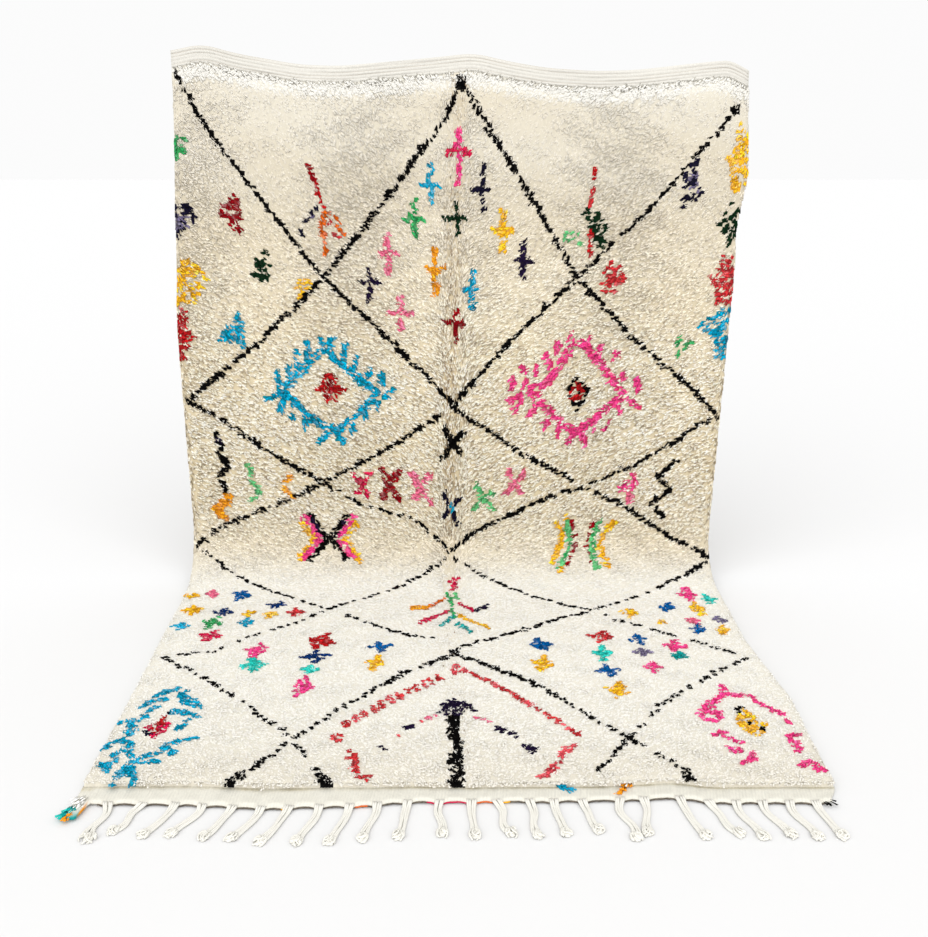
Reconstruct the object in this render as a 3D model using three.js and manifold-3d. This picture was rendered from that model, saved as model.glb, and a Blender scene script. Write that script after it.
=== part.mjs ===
// Azilal rug: one hand-knotted wool rug held up by its heading. It hangs to the floor, turns in
// one soft bend and runs out over the floor, where its warp ends lie as flat tassels.
// Millimetres, +Z up, floor at Z = 0, +X across the rug, -Y the way the pile faces.
import * as THREE from 'three';
import Module from 'manifold-3d';

const wasm = await Module();
wasm.setup();

// Driving dimensions of the rug
const rugWidth = 1550;
const thickness = 20; // ground weave and pile together
const heldHeight = 1510; // level of the highest held part of the heading
const hangY = 653.3; // middle of the hanging half's thickness
const floorReach = 1185; // from the hanging half to the near band's edge
const headingHeight = 44;
const bandDepth = 50;

// Driving dimensions of the weave and the pile
const weaveThickness = 6; // heading and near band
const ribCount = 5;
const ribHeight = 2;
const lumpHeight = 2.4;
const creaseDepth = 7; // parting along the middle, where the rug was folded for storage
const creaseWidth = 24;
const pileStep = 24; // a row of locks
const bendStep = 16;

// Driving dimensions of the fringe
const edgeGap = 0.3;
const stripDepth = 7;
const stripThickness = 5;
const strandsPerTassel = 3;

const half = thickness / 2;
const halfWidth = rugWidth / 2;

// The side edges, from the held top along the cloth. Both lean and wander as woven.
const sideEdges = [
  { along: 0, left: -757, right: 778 },
  { along: 100, left: -756, right: 783 },
  { along: 270, left: -762, right: 793 },
  { along: 350, left: -768, right: 786 },
  { along: 460, left: -773, right: 766 },
  { along: 520, left: -775, right: 776 },
  { along: 740, left: -790, right: 768 },
  { along: 1000, left: -789, right: 762 },
  { along: 1330, left: -788, right: 754 },
  { along: 1430, left: -794, right: 755 },
  { along: 1650, left: -785, right: 762 },
  { along: 1900, left: -779, right: 760 },
  { along: 2020, left: -774, right: 771 },
  { along: 2220, left: -768, right: 793 },
  { along: 2400, left: -765, right: 784 },
  { along: 2580, left: -762, right: 782 },
  { along: 2632, left: -760, right: 764 },
];

// How far the heading's edge drops below the held level, between and outside its holds
const headingSag = [
  { across: -775, drop: 14 },
  { across: -690, drop: -4 },
  { across: -600, drop: 20 },
  { across: -430, drop: 48 },
  { across: -320, drop: 51 },
  { across: -60, drop: 29 },
  { across: 35, drop: 19 },
  { across: 130, drop: 40 },
  { across: 230, drop: 56 },
  { across: 360, drop: 64 },
  { across: 470, drop: 61 },
  { across: 680, drop: 39 },
  { across: 740, drop: 36 },
  { across: 775, drop: 72 },
];

// How far the near band's edge reaches over the floor. These are also the back's columns.
const nearEdge = [
  { across: -775, reach: 1190 },
  { across: -755, reach: 1190 },
  { across: -735, reach: 1190 },
  { across: -660, reach: 1190 },
  { across: -560, reach: 1191 },
  { across: -390, reach: 1205 },
  { across: -200, reach: 1197 },
  { across: -95, reach: 1183 },
  { across: 0, reach: 1179 },
  { across: 130, reach: 1179 },
  { across: 290, reach: 1179 },
  { across: 455, reach: 1168 },
  { across: 515, reach: 1185 },
  { across: 690, reach: 1185 },
  { across: 775, reach: 1185 },
];

// The selvedge's loose tail at the left corner runs on past the band.
const tailLength = 54;
const tailInnerEdge = -735;

// Front columns: the back's and some between, close together at the edges and the parting
const backColumns = nearEdge.map((row) => row.across);
const extraColumns = [-475, -295, -45, -20, 20, 45, 85, 205, 370, 600, 740, 760];
const frontColumns = [...backColumns, ...extraColumns].sort((a, b) => a - b);

// A straight line between the rows of a table
function lookUp(table, key, value, at) {
  const last = table.length - 1;
  let i = 0;
  while (i < last - 1 && at > table[i + 1][key]) {
    i += 1;
  }
  const share = THREE.MathUtils.clamp((at - table[i][key]) / (table[i + 1][key] - table[i][key]), 0, 1);
  return THREE.MathUtils.lerp(table[i][value], table[i + 1][value], share);
}

// The bend from hanging to lying, summed from its turning angle: tight above, easing out below
const bendLength = 280;
const bendPower = 0.6;
const bend = [{ reach: 0, drop: 0, angle: Math.PI / 2 }];
for (let i = 0; i < bendLength; i += 1) {
  const eased = ((i + 0.5) / bendLength) ** bendPower;
  const angle = (Math.PI / 2) * (1 - eased) ** 2 * (1 + 2 * eased);
  bend.push({
    reach: bend[i].reach + Math.cos(angle),
    drop: bend[i].drop + Math.sin(angle),
    angle,
  });
}
const bendEnd = bend[bendLength];
const hangLength = heldHeight - half - bendEnd.drop;
const clothLength = hangLength + bendLength + floorReach - bendEnd.reach;

// The middle of the cloth's thickness seen from the side, and which way the pile faces there
function sideView(along) {
  const past = along - hangLength;
  if (past <= 0) {
    return { y: hangY, z: heldHeight - along, angle: Math.PI / 2 };
  }
  if (past >= bendLength) {
    return { y: hangY - bendEnd.reach - (past - bendLength), z: half, angle: 0 };
  }
  const step = Math.floor(past);
  const share = past - step;
  const [above, below] = [bend[step], bend[step + 1]];
  return {
    y: hangY - THREE.MathUtils.lerp(above.reach, below.reach, share),
    z: heldHeight - hangLength - THREE.MathUtils.lerp(above.drop, below.drop, share),
    angle: THREE.MathUtils.lerp(above.angle, below.angle, share),
  };
}

// The hanging half bellies forward between its holds and the floor, with soft upright waves
// below the sagging heading.
const bellyDepth = 14;
const waveDepth = 7;
const waveWidth = 240;
const sagFade = 700;
const endFade = 300;
function bellyAt(across, along) {
  const height = THREE.MathUtils.clamp(along / hangLength, 0, 1);
  const wave = Math.sin((across * Math.PI) / waveWidth + 0.6) * Math.sin(Math.PI * Math.sqrt(height));
  return bellyDepth * Math.sin(Math.PI * height) + waveDepth * wave;
}

// Where a point of the cloth lies: across and along it, and out from its middle
function clothPoint(across, along, out, sideways = 0) {
  const top = 1 - THREE.MathUtils.smoothstep(along, 0, sagFade);
  const end = THREE.MathUtils.smoothstep(along, clothLength - endFade, clothLength);
  const sag = lookUp(headingSag, 'across', 'drop', across) * top;
  const reach = (lookUp(nearEdge, 'across', 'reach', across) - floorReach) * end;
  const atEnd = along >= clothLength;
  const tail = atEnd && across < tailInnerEdge ? tailLength : 0;
  const side = sideView(along + sag + reach + tail);
  const left = lookUp(sideEdges, 'along', 'left', along);
  const right = lookUp(sideEdges, 'along', 'right', along);
  const proud = out + bellyAt(across, along);
  return new THREE.Vector3(
    THREE.MathUtils.mapLinear(across, -halfWidth, halfWidth, left, right) + sideways,
    side.y - Math.sin(side.angle) * proud,
    side.z + Math.cos(side.angle) * (along < hangLength ? proud : out),
  );
}

// Rows along the cloth: where each lies and what is woven there
function clothRows() {
  const rows = [{ along: 0, weave: 'flat', rib: 0 }];
  const ribPitch = headingHeight / ribCount;
  for (let rib = 0; rib < ribCount; rib += 1) {
    rows.push({ along: (rib + 0.5) * ribPitch, weave: 'flat', rib: ribHeight });
    rows.push({ along: (rib + 1) * ribPitch, weave: 'flat', rib: 0 });
  }
  const pileStart = headingHeight + half / 2;
  const pileEnd = clothLength - bandDepth;
  const bendTop = hangLength - bendStep;
  const bendBottom = hangLength + bendLength / 2;
  let along = pileStart;
  while (along < pileEnd - pileStep / 2) {
    rows.push({ along, weave: 'pile', rib: 0 });
    along += along > bendTop && along < bendBottom ? bendStep : pileStep;
  }
  rows.push({ along: pileEnd, weave: 'pile', rib: 0 });
  rows.push({ along: pileEnd + half / 2, weave: 'flat', rib: 0 });
  rows.push({ along: clothLength - bandDepth / 3, weave: 'flat', rib: 0 });
  rows.push({ along: clothLength, weave: 'flat', rib: 0 });
  return rows;
}

// Pile surface: low lumps of clumped wool, parted along the middle fold
function pileSurface(across, along) {
  const drift = 0.7 * Math.sin(along / 97);
  const lump = Math.sin(across / 38 + drift) * Math.sin(along / 19 + 1.3 * Math.sin(across / 150));
  const parting = creaseDepth * Math.exp(-((across / creaseWidth) ** 2));
  return half + lumpHeight * lump - parting;
}

// One closed section across the cloth: back from left to right, right rim, front, left rim
const rimInset = 4;
const lockReach = 5;
function clothSection(row, index) {
  const isPile = row.weave === 'pile';
  const flatTop = weaveThickness - half + row.rib;
  const lock = (index % 2 === 0 ? lockReach : -lockReach) + 2 * Math.sin(index * 1.7);
  const rimPush = isPile ? lock : 1;
  const rimOut = isPile ? 0 : (flatTop - half) / 2;
  const back = backColumns.map((across) => clothPoint(across, row.along, -half));
  const front = frontColumns.map((across) => {
    const isRim = Math.abs(across) === halfWidth;
    const surface = pileSurface(across, row.along) - (isRim ? rimInset : 0);
    const inset = isRim && isPile ? -Math.sign(across) * rimInset : 0;
    return clothPoint(across, row.along, isPile ? surface : flatTop, inset);
  });
  const rightRim = clothPoint(halfWidth, row.along, rimOut, rimPush);
  const leftRim = clothPoint(-halfWidth, row.along, rimOut, -rimPush);
  return [...back, rightRim, ...front.reverse(), leftRim];
}

// The cut face of such a section, in triangles from column to column
function clothCap() {
  const rightRim = backColumns.length;
  const leftRim = rightRim + frontColumns.length + 1;
  const frontAt = (column) => leftRim - 1 - column;
  const faces = [[leftRim, 0, frontAt(0)]];
  let [back, front] = [0, 0];
  while (front + 1 < frontColumns.length) {
    if (frontColumns[front + 1] <= backColumns[back + 1]) {
      faces.push([back, frontAt(front + 1), frontAt(front)]);
      front += 1;
    }
    if (frontColumns[front] === backColumns[back + 1]) {
      faces.push([back, back + 1, frontAt(front)]);
      back += 1;
    }
  }
  faces.push([rightRim, frontAt(front), back]);
  return faces;
}

// A closed body through sections with the same number of points. The cap's triangles close its
// last section, and turned over its first.
const squareCap = [[0, 1, 2], [0, 2, 3]];
function loft(sections, cap) {
  const count = sections[0].length;
  const positions = sections.flat().flatMap((point) => [point.x, point.y, point.z]);
  const faces = [];
  for (let s = 0; s + 1 < sections.length; s += 1) {
    for (let i = 0; i < count; i += 1) {
      const [a, b] = [s * count + i, s * count + ((i + 1) % count)];
      faces.push(a, b, b + count, a, b + count, a + count);
    }
  }
  const lastStart = (sections.length - 1) * count;
  for (const [a, b, c] of cap) {
    faces.push(c, b, a, lastStart + a, lastStart + b, lastStart + c);
  }
  const geometry = new THREE.BufferGeometry();
  geometry.setAttribute('position', new THREE.Float32BufferAttribute(positions, 3));
  geometry.setIndex(faces);
  return geometry;
}

function makeRug() {
  const sections = clothRows().map((row, index) => clothSection(row, index));
  return loft(sections, clothCap());
}

// Tassels: where each leaves the band, how far its tip lies to the side, and its length
const tassels = [
  { x: -691, lean: -8, length: 107 },
  { x: -626, lean: -33, length: 88 },
  { x: -559, lean: -40, length: 104 },
  { x: -503, lean: -43, length: 97 },
  { x: -443, lean: -37, length: 97 },
  { x: -384, lean: -43, length: 102 },
  { x: -330, lean: -41, length: 114 },
  { x: -269, lean: -32, length: 113 },
  { x: -209, lean: -29, length: 115 },
  { x: -154, lean: -22, length: 108 },
  { x: -94, lean: -12, length: 106 },
  { x: -30, lean: 8, length: 96 },
  { x: 35, lean: 6, length: 104 },
  { x: 88, lean: 24, length: 101 },
  { x: 153, lean: 11, length: 108 },
  { x: 201, lean: 17, length: 102 },
  { x: 259, lean: 22, length: 92 },
  { x: 333, lean: 18, length: 122 },
  { x: 383, lean: -9, length: 106 },
  { x: 456, lean: 30, length: 126 },
  { x: 513, lean: 40, length: 107 },
  { x: 565, lean: 30, length: 111 },
  { x: 618, lean: 32, length: 106 },
  { x: 672, lean: 27, length: 110 },
  { x: 726, lean: 20, length: 106 },
];

// A strand's section along its length: its place beside its neighbours, width and height
const strandSections = [
  { share: 0, spread: 5.2, width: 4.6, height: 5 },
  { share: 0.3, spread: 5.4, width: 4.8, height: 5 },
  { share: 0.6, spread: 5.6, width: 5, height: 5.4 },
  { share: 0.82, spread: 7.4, width: 6.2, height: 6.4 },
  { share: 0.95, spread: 9, width: 7.6, height: 6.8 },
  { share: 1, spread: 9.2, width: 5, height: 4 },
];

// One strand of a tassel lies flat on the floor along the tassel's curve.
function makeStrand(tassel, place, edgeY) {
  const reach = Math.sqrt(tassel.length ** 2 - tassel.lean ** 2);
  const curve = new THREE.QuadraticBezierCurve3(
    new THREE.Vector3(tassel.x, edgeY, 0),
    new THREE.Vector3(tassel.x + tassel.lean * 0.25, edgeY - reach * 0.5, 0),
    new THREE.Vector3(tassel.x + tassel.lean, edgeY - reach, 0),
  );
  const sections = strandSections.map((row) => {
    const centre = curve.getPoint(row.share);
    const tangent = curve.getTangent(row.share);
    const aside = new THREE.Vector3(-tangent.y, tangent.x, 0);
    const middle = centre.addScaledVector(aside, place * row.spread);
    const corner = (sign, z) => middle.clone().addScaledVector(aside, (sign * row.width) / 2).setZ(z);
    return [corner(-1, 0), corner(1, 0), corner(1, row.height), corner(-1, row.height)];
  });
  return loft(sections, squareCap);
}

// Where the strip meets the near band, a little way off its edge
function stripLine(across) {
  const edge = clothPoint(across, clothLength, -half);
  return new THREE.Vector2(edge.x, edge.y - edgeGap);
}

// The narrow strip of band that the warp ends leave
function makeStrip() {
  const columns = backColumns.filter((across) => across >= tailInnerEdge);
  const sections = columns.map((across) => {
    const { x, y } = stripLine(across);
    return [
      new THREE.Vector3(x, y - stripDepth, 0),
      new THREE.Vector3(x, y, 0),
      new THREE.Vector3(x, y, stripThickness),
      new THREE.Vector3(x, y - stripDepth, stripThickness),
    ];
  });
  return loft(sections, squareCap);
}

function toSolid(geometry) {
  return new wasm.Manifold(
    new wasm.Mesh({
      numProp: 3,
      vertProperties: geometry.getAttribute('position').array,
      triVerts: new Uint32Array(geometry.index.array),
    }),
  );
}

function makeFringe() {
  const middle = (strandsPerTassel - 1) / 2;
  const table = backColumns.map((across) => ({ x: stripLine(across).x, y: stripLine(across).y }));
  let fringe = toSolid(makeStrip());
  for (const tassel of tassels) {
    const rootY = lookUp(table, 'x', 'y', tassel.x) - stripDepth / 2;
    for (let i = 0; i < strandsPerTassel; i += 1) {
      fringe = fringe.add(toSolid(makeStrand(tassel, i - middle, rootY)));
    }
  }
  const { vertProperties, triVerts } = fringe.getMesh();
  const geometry = new THREE.BufferGeometry();
  geometry.setAttribute('position', new THREE.BufferAttribute(new Float32Array(vertProperties), 3));
  geometry.setIndex(new THREE.BufferAttribute(new Uint32Array(triVerts), 1));
  return geometry;
}

const wool = new THREE.MeshStandardMaterial({ color: 0xede6d2, roughness: 0.95, metalness: 0 });
const warpYarn = new THREE.MeshStandardMaterial({ color: 0xf1ecdd, roughness: 0.9, metalness: 0 });

const rug = new THREE.Mesh(makeRug(), wool);
rug.name = 'rug';
const fringe = new THREE.Mesh(makeFringe(), warpYarn);
fringe.name = 'fringe';

const azilalRug = new THREE.Group();
azilalRug.add(rug, fringe);

export default azilalRug;
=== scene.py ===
# Azilal rug, held up by its heading, with its lower half out on the floor.
import math
import bpy
import numpy as np
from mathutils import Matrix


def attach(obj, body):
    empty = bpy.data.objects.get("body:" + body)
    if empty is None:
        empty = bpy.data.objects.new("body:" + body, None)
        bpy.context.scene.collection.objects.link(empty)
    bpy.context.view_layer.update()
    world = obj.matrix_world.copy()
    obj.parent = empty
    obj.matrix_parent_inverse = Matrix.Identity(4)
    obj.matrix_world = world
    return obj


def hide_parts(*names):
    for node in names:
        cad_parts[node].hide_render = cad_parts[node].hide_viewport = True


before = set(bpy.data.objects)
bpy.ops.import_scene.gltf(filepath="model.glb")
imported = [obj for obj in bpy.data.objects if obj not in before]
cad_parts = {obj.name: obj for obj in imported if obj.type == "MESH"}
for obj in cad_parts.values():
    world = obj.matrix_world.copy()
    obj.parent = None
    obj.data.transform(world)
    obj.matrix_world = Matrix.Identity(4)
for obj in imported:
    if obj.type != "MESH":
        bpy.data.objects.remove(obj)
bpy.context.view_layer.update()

# The cloth
# One hand-knotted wool cloth, 2 cm thick with its pile. It is held along its heading, hangs to the floor,
# turns there in one soft bend and runs out level. Every piece below is placed across and along it.
rug_width = 1.550
half_width = rug_width / 2
half_thickness = 0.010
held_height = 1.510
hang_y = 0.6533
floor_reach = 1.185
heading_height = 0.044
band_depth = 0.050

side_edges = {
    "along": [0, 0.10, 0.27, 0.35, 0.46, 0.52, 0.74, 1.00, 1.33, 1.43, 1.65, 1.90, 2.02, 2.22, 2.40, 2.58,
              2.632],
    "left": [-0.757, -0.756, -0.762, -0.768, -0.773, -0.775, -0.790, -0.789, -0.788, -0.794, -0.785, -0.779,
             -0.774, -0.768, -0.765, -0.762, -0.760],
    "right": [0.778, 0.783, 0.793, 0.786, 0.766, 0.776, 0.768, 0.762, 0.754, 0.755, 0.762, 0.760,
              0.771, 0.793, 0.784, 0.782, 0.764],
}
heading_sag = {
    "across": [-0.775, -0.690, -0.600, -0.430, -0.320, -0.060, 0.035, 0.130, 0.230, 0.360, 0.470, 0.680,
               0.740, 0.775],
    "drop": [0.014, -0.004, 0.020, 0.048, 0.051, 0.029, 0.019, 0.040, 0.056, 0.064, 0.061, 0.039,
             0.036, 0.072],
}
near_edge = {
    "across": [-0.735, -0.560, -0.390, -0.200, -0.095, 0.290, 0.455, 0.515, 0.775],
    "reach": [1.190, 1.191, 1.205, 1.197, 1.183, 1.179, 1.168, 1.185, 1.185],
}

bend_length = 0.280
bend_power = 0.6
bend_steps = 280
bend_share = ((np.arange(bend_steps) + 0.5) / bend_steps) ** bend_power
bend_angle = math.pi / 2 * (1 - bend_share) ** 2 * (1 + 2 * bend_share)
bend_step = bend_length / bend_steps
bend_reach = np.concatenate([[0], np.cumsum(np.cos(bend_angle))]) * bend_step
bend_drop = np.concatenate([[0], np.cumsum(np.sin(bend_angle))]) * bend_step
bend_angle = np.concatenate([[math.pi / 2], bend_angle])
bend_past = np.linspace(0, bend_length, bend_steps + 1)
hang_length = held_height - half_thickness - bend_drop[-1]
cloth_length = hang_length + bend_length + floor_reach - bend_reach[-1]

belly_depth = 0.014
wave_depth = 0.007
wave_width = 0.240
wave_start = 0.6
sag_fade = 0.700
end_fade = 0.300
sag_soften = 0.060
reach_soften = 0.050
edge_soften = 0.080


def smooth(value, low, high):
    """0 below low, 1 above high, and an S-curve between them."""
    share = np.clip((value - low) / (high - low), 0, 1)
    return share * share * (3 - 2 * share)


def read_off(table, key, column, at, soften):
    """A column of a table at a place, with its corners rounded over a length."""
    shifts = soften * np.array([-0.5, -0.25, 0, 0.25, 0.5])
    return sum(np.interp(at + shift, table[key], table[column]) for shift in shifts) / len(shifts)


def place_of(across, along):
    """How far to the side a point of the cloth is, and how far down the cloth's side view."""
    top = 1 - smooth(along, 0, sag_fade)
    end = smooth(along, cloth_length - end_fade, cloth_length)
    sag = read_off(heading_sag, "across", "drop", across, sag_soften) * top
    reach = (read_off(near_edge, "across", "reach", across, reach_soften) - floor_reach) * end
    left = read_off(side_edges, "along", "left", along, edge_soften)
    right = read_off(side_edges, "along", "right", along, edge_soften)
    return left + (across + half_width) / rug_width * (right - left), along + sag + reach


def side_view(down):
    """The middle of the cloth's thickness from the side, and how steeply it falls there."""
    past = down - hang_length
    y = hang_y - np.interp(past, bend_past, bend_reach) - np.maximum(past - bend_length, 0)
    z = held_height - np.minimum(down, hang_length) - np.interp(past, bend_past, bend_drop)
    return y, z, np.interp(past, bend_past, bend_angle)


def belly(across, along):
    """How far the hanging half stands forward of an upright plane."""
    height = np.clip(along / hang_length, 0, 1)
    wave = np.sin(across * math.pi / wave_width + wave_start) * np.sin(math.pi * np.sqrt(height))
    return belly_depth * np.sin(math.pi * height) + wave_depth * wave


def on_cloth(across, along, out):
    """Points of the cloth, across and along it and out from the middle of its thickness."""
    across, along, out = np.broadcast_arrays(across, along, out)
    x, down = place_of(across, along)
    y, z, angle = side_view(down)
    proud = out + belly(across, along)
    return np.stack([x, y - np.sin(angle) * proud, z + np.cos(angle) * proud], -1)


def facing(across, along):
    """The way down the cloth, and the way out of its pile, as arrows at each point."""
    _, down = place_of(across, along)
    _, _, angle = side_view(down)
    zero = np.zeros_like(angle)
    return (np.stack([zero, -np.cos(angle), -np.sin(angle)], -1),
            np.stack([zero, -np.sin(angle), np.cos(angle)], -1))


# The design
# Knots of dyed wool in a cream ground: a lattice of long black lozenges, and in its fields crosses, eyes,
# crossed and bent arms, stars, a tree and chevrons. It is charted in millimetres: each place is
# how far it is to the right of the rug's middle, and how far down the cloth.
wool_colours = {
    "cream": (248, 246, 240),
    "black": (7, 6, 6),
    "magenta": (232, 66, 132),
    "pink": (228, 108, 140),
    "rose": (214, 78, 88),
    "coral": (188, 50, 54),
    "red": (172, 24, 28),
    "dark red": (138, 12, 22),
    "crimson": (196, 28, 72),
    "orange": (212, 96, 24),
    "amber": (232, 150, 34),
    "yellow": (244, 180, 40),
    "green": (52, 156, 90),
    "light green": (96, 182, 118),
    "dark green": (12, 40, 22),
    "aqua": (44, 192, 180),
    "teal": (18, 150, 148),
    "light blue": (34, 158, 194),
    "blue": (8, 148, 182),
    "royal blue": (6, 84, 146),
    "dark blue": (12, 46, 100),
    "navy": (20, 18, 40),
    "purple": (28, 18, 46),
    "lilac": (112, 104, 132),
}
wool_names = list(wool_colours)
design = []


def stroke(wool, *points, wide=15, cover=0.92, broken=0):
    """A line of knots: how wide it is, the share of its knots that are tied, and how broken it is."""
    design.append({"wool": wool, "points": points, "wide": wide, "cover": cover, "broken": broken})


def patch(wool, *points, cover=0.85):
    """A filled shape of knots inside these corners, and the share of them that are tied."""
    design.append({"wool": wool, "points": points, "wide": 0, "cover": cover, "broken": 0})


def lattice():
    """The black lines, from crossing to crossing down the rug, each with its width and how broken it is."""
    lines = [
        (12, 0.04, [(-745, 60), (-687, 185), (-606, 298), (-430, 528), (-373, 603)]),
        (14.5, 0.05, [(15, 92), (-26, 170), (-106, 276), (-252, 460), (-373, 603)]),
        (13.5, 0.08, [(15, 92), (71, 181), (168, 330), (338, 605)]),
        (12, 0.08, [(748, 160), (700, 221), (645, 280), (587, 350), (523, 423), (442, 500), (338, 605)]),
        (14.5, 0.06, [(-373, 603), (-558, 782), (-775, 953)]),
        (14.5, 0.05, [(-373, 603), (-235, 740), (-20, 955)]),
        (14.5, 0.05, [(338, 605), (152, 784), (-12, 965)]),
        (13.5, 0.08, [(338, 605), (490, 766), (668, 915), (752, 995)]),
        (13.5, 0.10, [(-775, 957), (-700, 1000), (-527, 1125), (-398, 1204)]),
        (14.5, 0.07, [(-45, 993), (-164, 1075), (-398, 1204), (-500, 1257), (-709, 1344), (-777, 1400)]),
        (13.5, 0.07, [(-12, 975), (100, 1048), (200, 1122), (345, 1199)]),
        (13.5, 0.06, [(752, 998), (655, 1062), (527, 1143), (400, 1203)]),
        (13.5, 0.06, [(392, 1219), (309, 1231), (182, 1294), (45, 1366), (-18, 1420)]),
        (14, 0.08, [(409, 1235), (500, 1280), (655, 1387), (745, 1428), (737, 1462), (691, 1498)]),
        (13, 0.26, [(-385, 1212), (-300, 1266), (-173, 1307), (-118, 1327), (-20, 1424)]),
        (12, 0.30, [(-777, 1404), (-687, 1485), (-510, 1606), (-365, 1711)]),
        (12, 0.26, [(-25, 1432), (-139, 1535), (-300, 1660), (-365, 1711)]),
        (12, 0.26, [(-12, 1440), (103, 1525), (232, 1630), (329, 1697), (385, 1712)]),
        (12, 0.30, [(691, 1498), (619, 1543), (523, 1622), (385, 1712)]),
        (12, 0.50, [(-365, 1711), (-429, 1790), (-558, 1896), (-620, 1968), (-752, 2006)]),
        (14, 0.34, [(-310, 1745), (-236, 1807), (-179, 1848), (-100, 1890), (-65, 1888)]),
        (14, 0.22, [(385, 1722), (300, 1762), (168, 1856), (90, 1900), (20, 1938), (-3, 1978)]),
        (13, 0.38, [(400, 1730), (442, 1783), (603, 1896), (740, 2001)]),
        (13, 0.40, [(-752, 2010), (-655, 2076), (-558, 2172), (-381, 2372), (-359, 2405)]),
        (12, 0.45, [(-359, 2405), (-316, 2472), (-270, 2560)]),
        (17, 0.22, [(-10, 1990), (-58, 2026), (-123, 2084), (-203, 2180)]),
        (15, 0.34, [(-203, 2180), (-300, 2307), (-359, 2402), (-397, 2461), (-445, 2549)]),
        (18, 0.18, [(5, 1990), (71, 2041), (152, 2106), (216, 2170)]),
        (13, 0.36, [(216, 2170), (313, 2307), (385, 2396), (474, 2509), (490, 2560)]),
        (14, 0.38, [(740, 2005), (619, 2106), (474, 2253), (426, 2330), (385, 2396), (289, 2538)]),
    ]
    for wide, broken, line in lines:
        stroke("black", *line, wide=wide, cover=0.98, broken=broken)
    crossings = [(15, 88), (-14, 962), (748, 160), (-3, 1975), (385, 2394)]
    for x, down in crossings:
        stroke("black", (x, down - 12), (x, down + 12), wide=22, cover=0.85)
    feet = [[(-440, 2535), (-465, 2580)], [(-282, 2535), (-260, 2578)], [(478, 2520), (492, 2566)]]
    for foot in feet:
        stroke("black", *foot, wide=24, cover=0.99)


def cross(wool, x, down, up, below, left, right, wide):
    """An upright cross, with the length of each of its arms and their width."""
    stroke(wool, (x, down - up), (x, down + below), wide=wide)
    stroke(wool, (x - left, down), (x + right, down), wide=wide)


def crosses():
    """The thirteen crosses in the top lozenge."""
    stroke("magenta", (5, 203), (5, 351), wide=19)
    stroke("crimson", (-27, 267), (43, 267), wide=22)
    cross("blue", -70, 354, 60, 53, 33, 24, wide=16)
    cross("navy", 72, 367, 63, 56, 27, 27, wide=9)
    cross("green", -120, 447, 56, 51, 33, 30, wide=15.5)
    cross("dark green", 1, 441, 42, 50, 41, 30, wide=11)
    cross("yellow", 130, 476, 54, 65, 28, 33, wide=21)
    cross("pink", -193, 539, 54, 58, 25, 28, wide=15)
    cross("amber", -61, 580, 66, 75, 31, 31, wide=17)
    cross("purple", 186, 558, 57, 50, 25, 25, wide=17)
    cross("purple", -248, 619, 44, 50, 25, 33, wide=14)
    cross("blue", 45, 635, 55, 59, 25, 25, wide=19)
    cross("pink", -160, 702, 50, 54, 39, 37, wide=14)
    cross("dark red", -3, 728, 40, 63, 34, 26, wide=15.5)
    patch("yellow", (100, 480), (128, 455), (165, 475), (135, 500))


def left_figures():
    """The small figures down the left edge and the flame over the left crossing."""
    patch("green", (-765, 245), (-745, 222), (-723, 240), (-728, 270), (-755, 288), cover=0.6)
    patch("navy", (-780, 402), (-735, 410), (-712, 440), (-740, 468), (-780, 492), cover=0.55)
    patch("lilac", (-780, 425), (-735, 428), (-735, 462), (-780, 470), cover=0.35)
    patch("dark red", (-612, 365), (-600, 385), (-588, 465), (-605, 488), (-625, 462), (-660, 425),
          (-632, 400), cover=0.88)
    patch("dark green", (-530, 515), (-518, 560), (-523, 622), (-572, 600), (-560, 550), cover=0.72)
    patch("yellow", (-785, 560), (-755, 553), (-715, 575), (-697, 615), (-735, 678), (-785, 672),
          cover=0.64)
    patch("yellow", (-430, 588), (-402, 622), (-418, 652), (-447, 662), (-462, 620), cover=0.8)
    patch("red", (-795, 682), (-765, 695), (-762, 750), (-737, 778), (-765, 802), (-768, 832), (-795, 828),
          cover=0.8)
    patch("blue", (-612, 700), (-600, 740), (-600, 812), (-630, 788), (-680, 780), (-645, 735), cover=0.96)
    stroke("dark red", (-405, 300), (-385, 345), (-375, 380), wide=9)
    stroke("red", (-385, 345), (-365, 418), wide=15)
    stroke("orange", (-365, 420), (-369, 465), (-364, 538), wide=16)
    stroke("orange", (-355, 428), (-332, 440), (-328, 470), (-308, 492), (-318, 515), wide=12, cover=0.85)
    stroke("coral", (-350, 452), (-348, 478), (-325, 500), wide=9, cover=0.7)
    stroke("navy", (-382, 412), (-395, 438), (-425, 458), (-428, 485), (-402, 510), wide=11, cover=0.6)
    stroke("lilac", (-388, 425), (-410, 452), (-412, 480), wide=12, cover=0.4)


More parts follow.
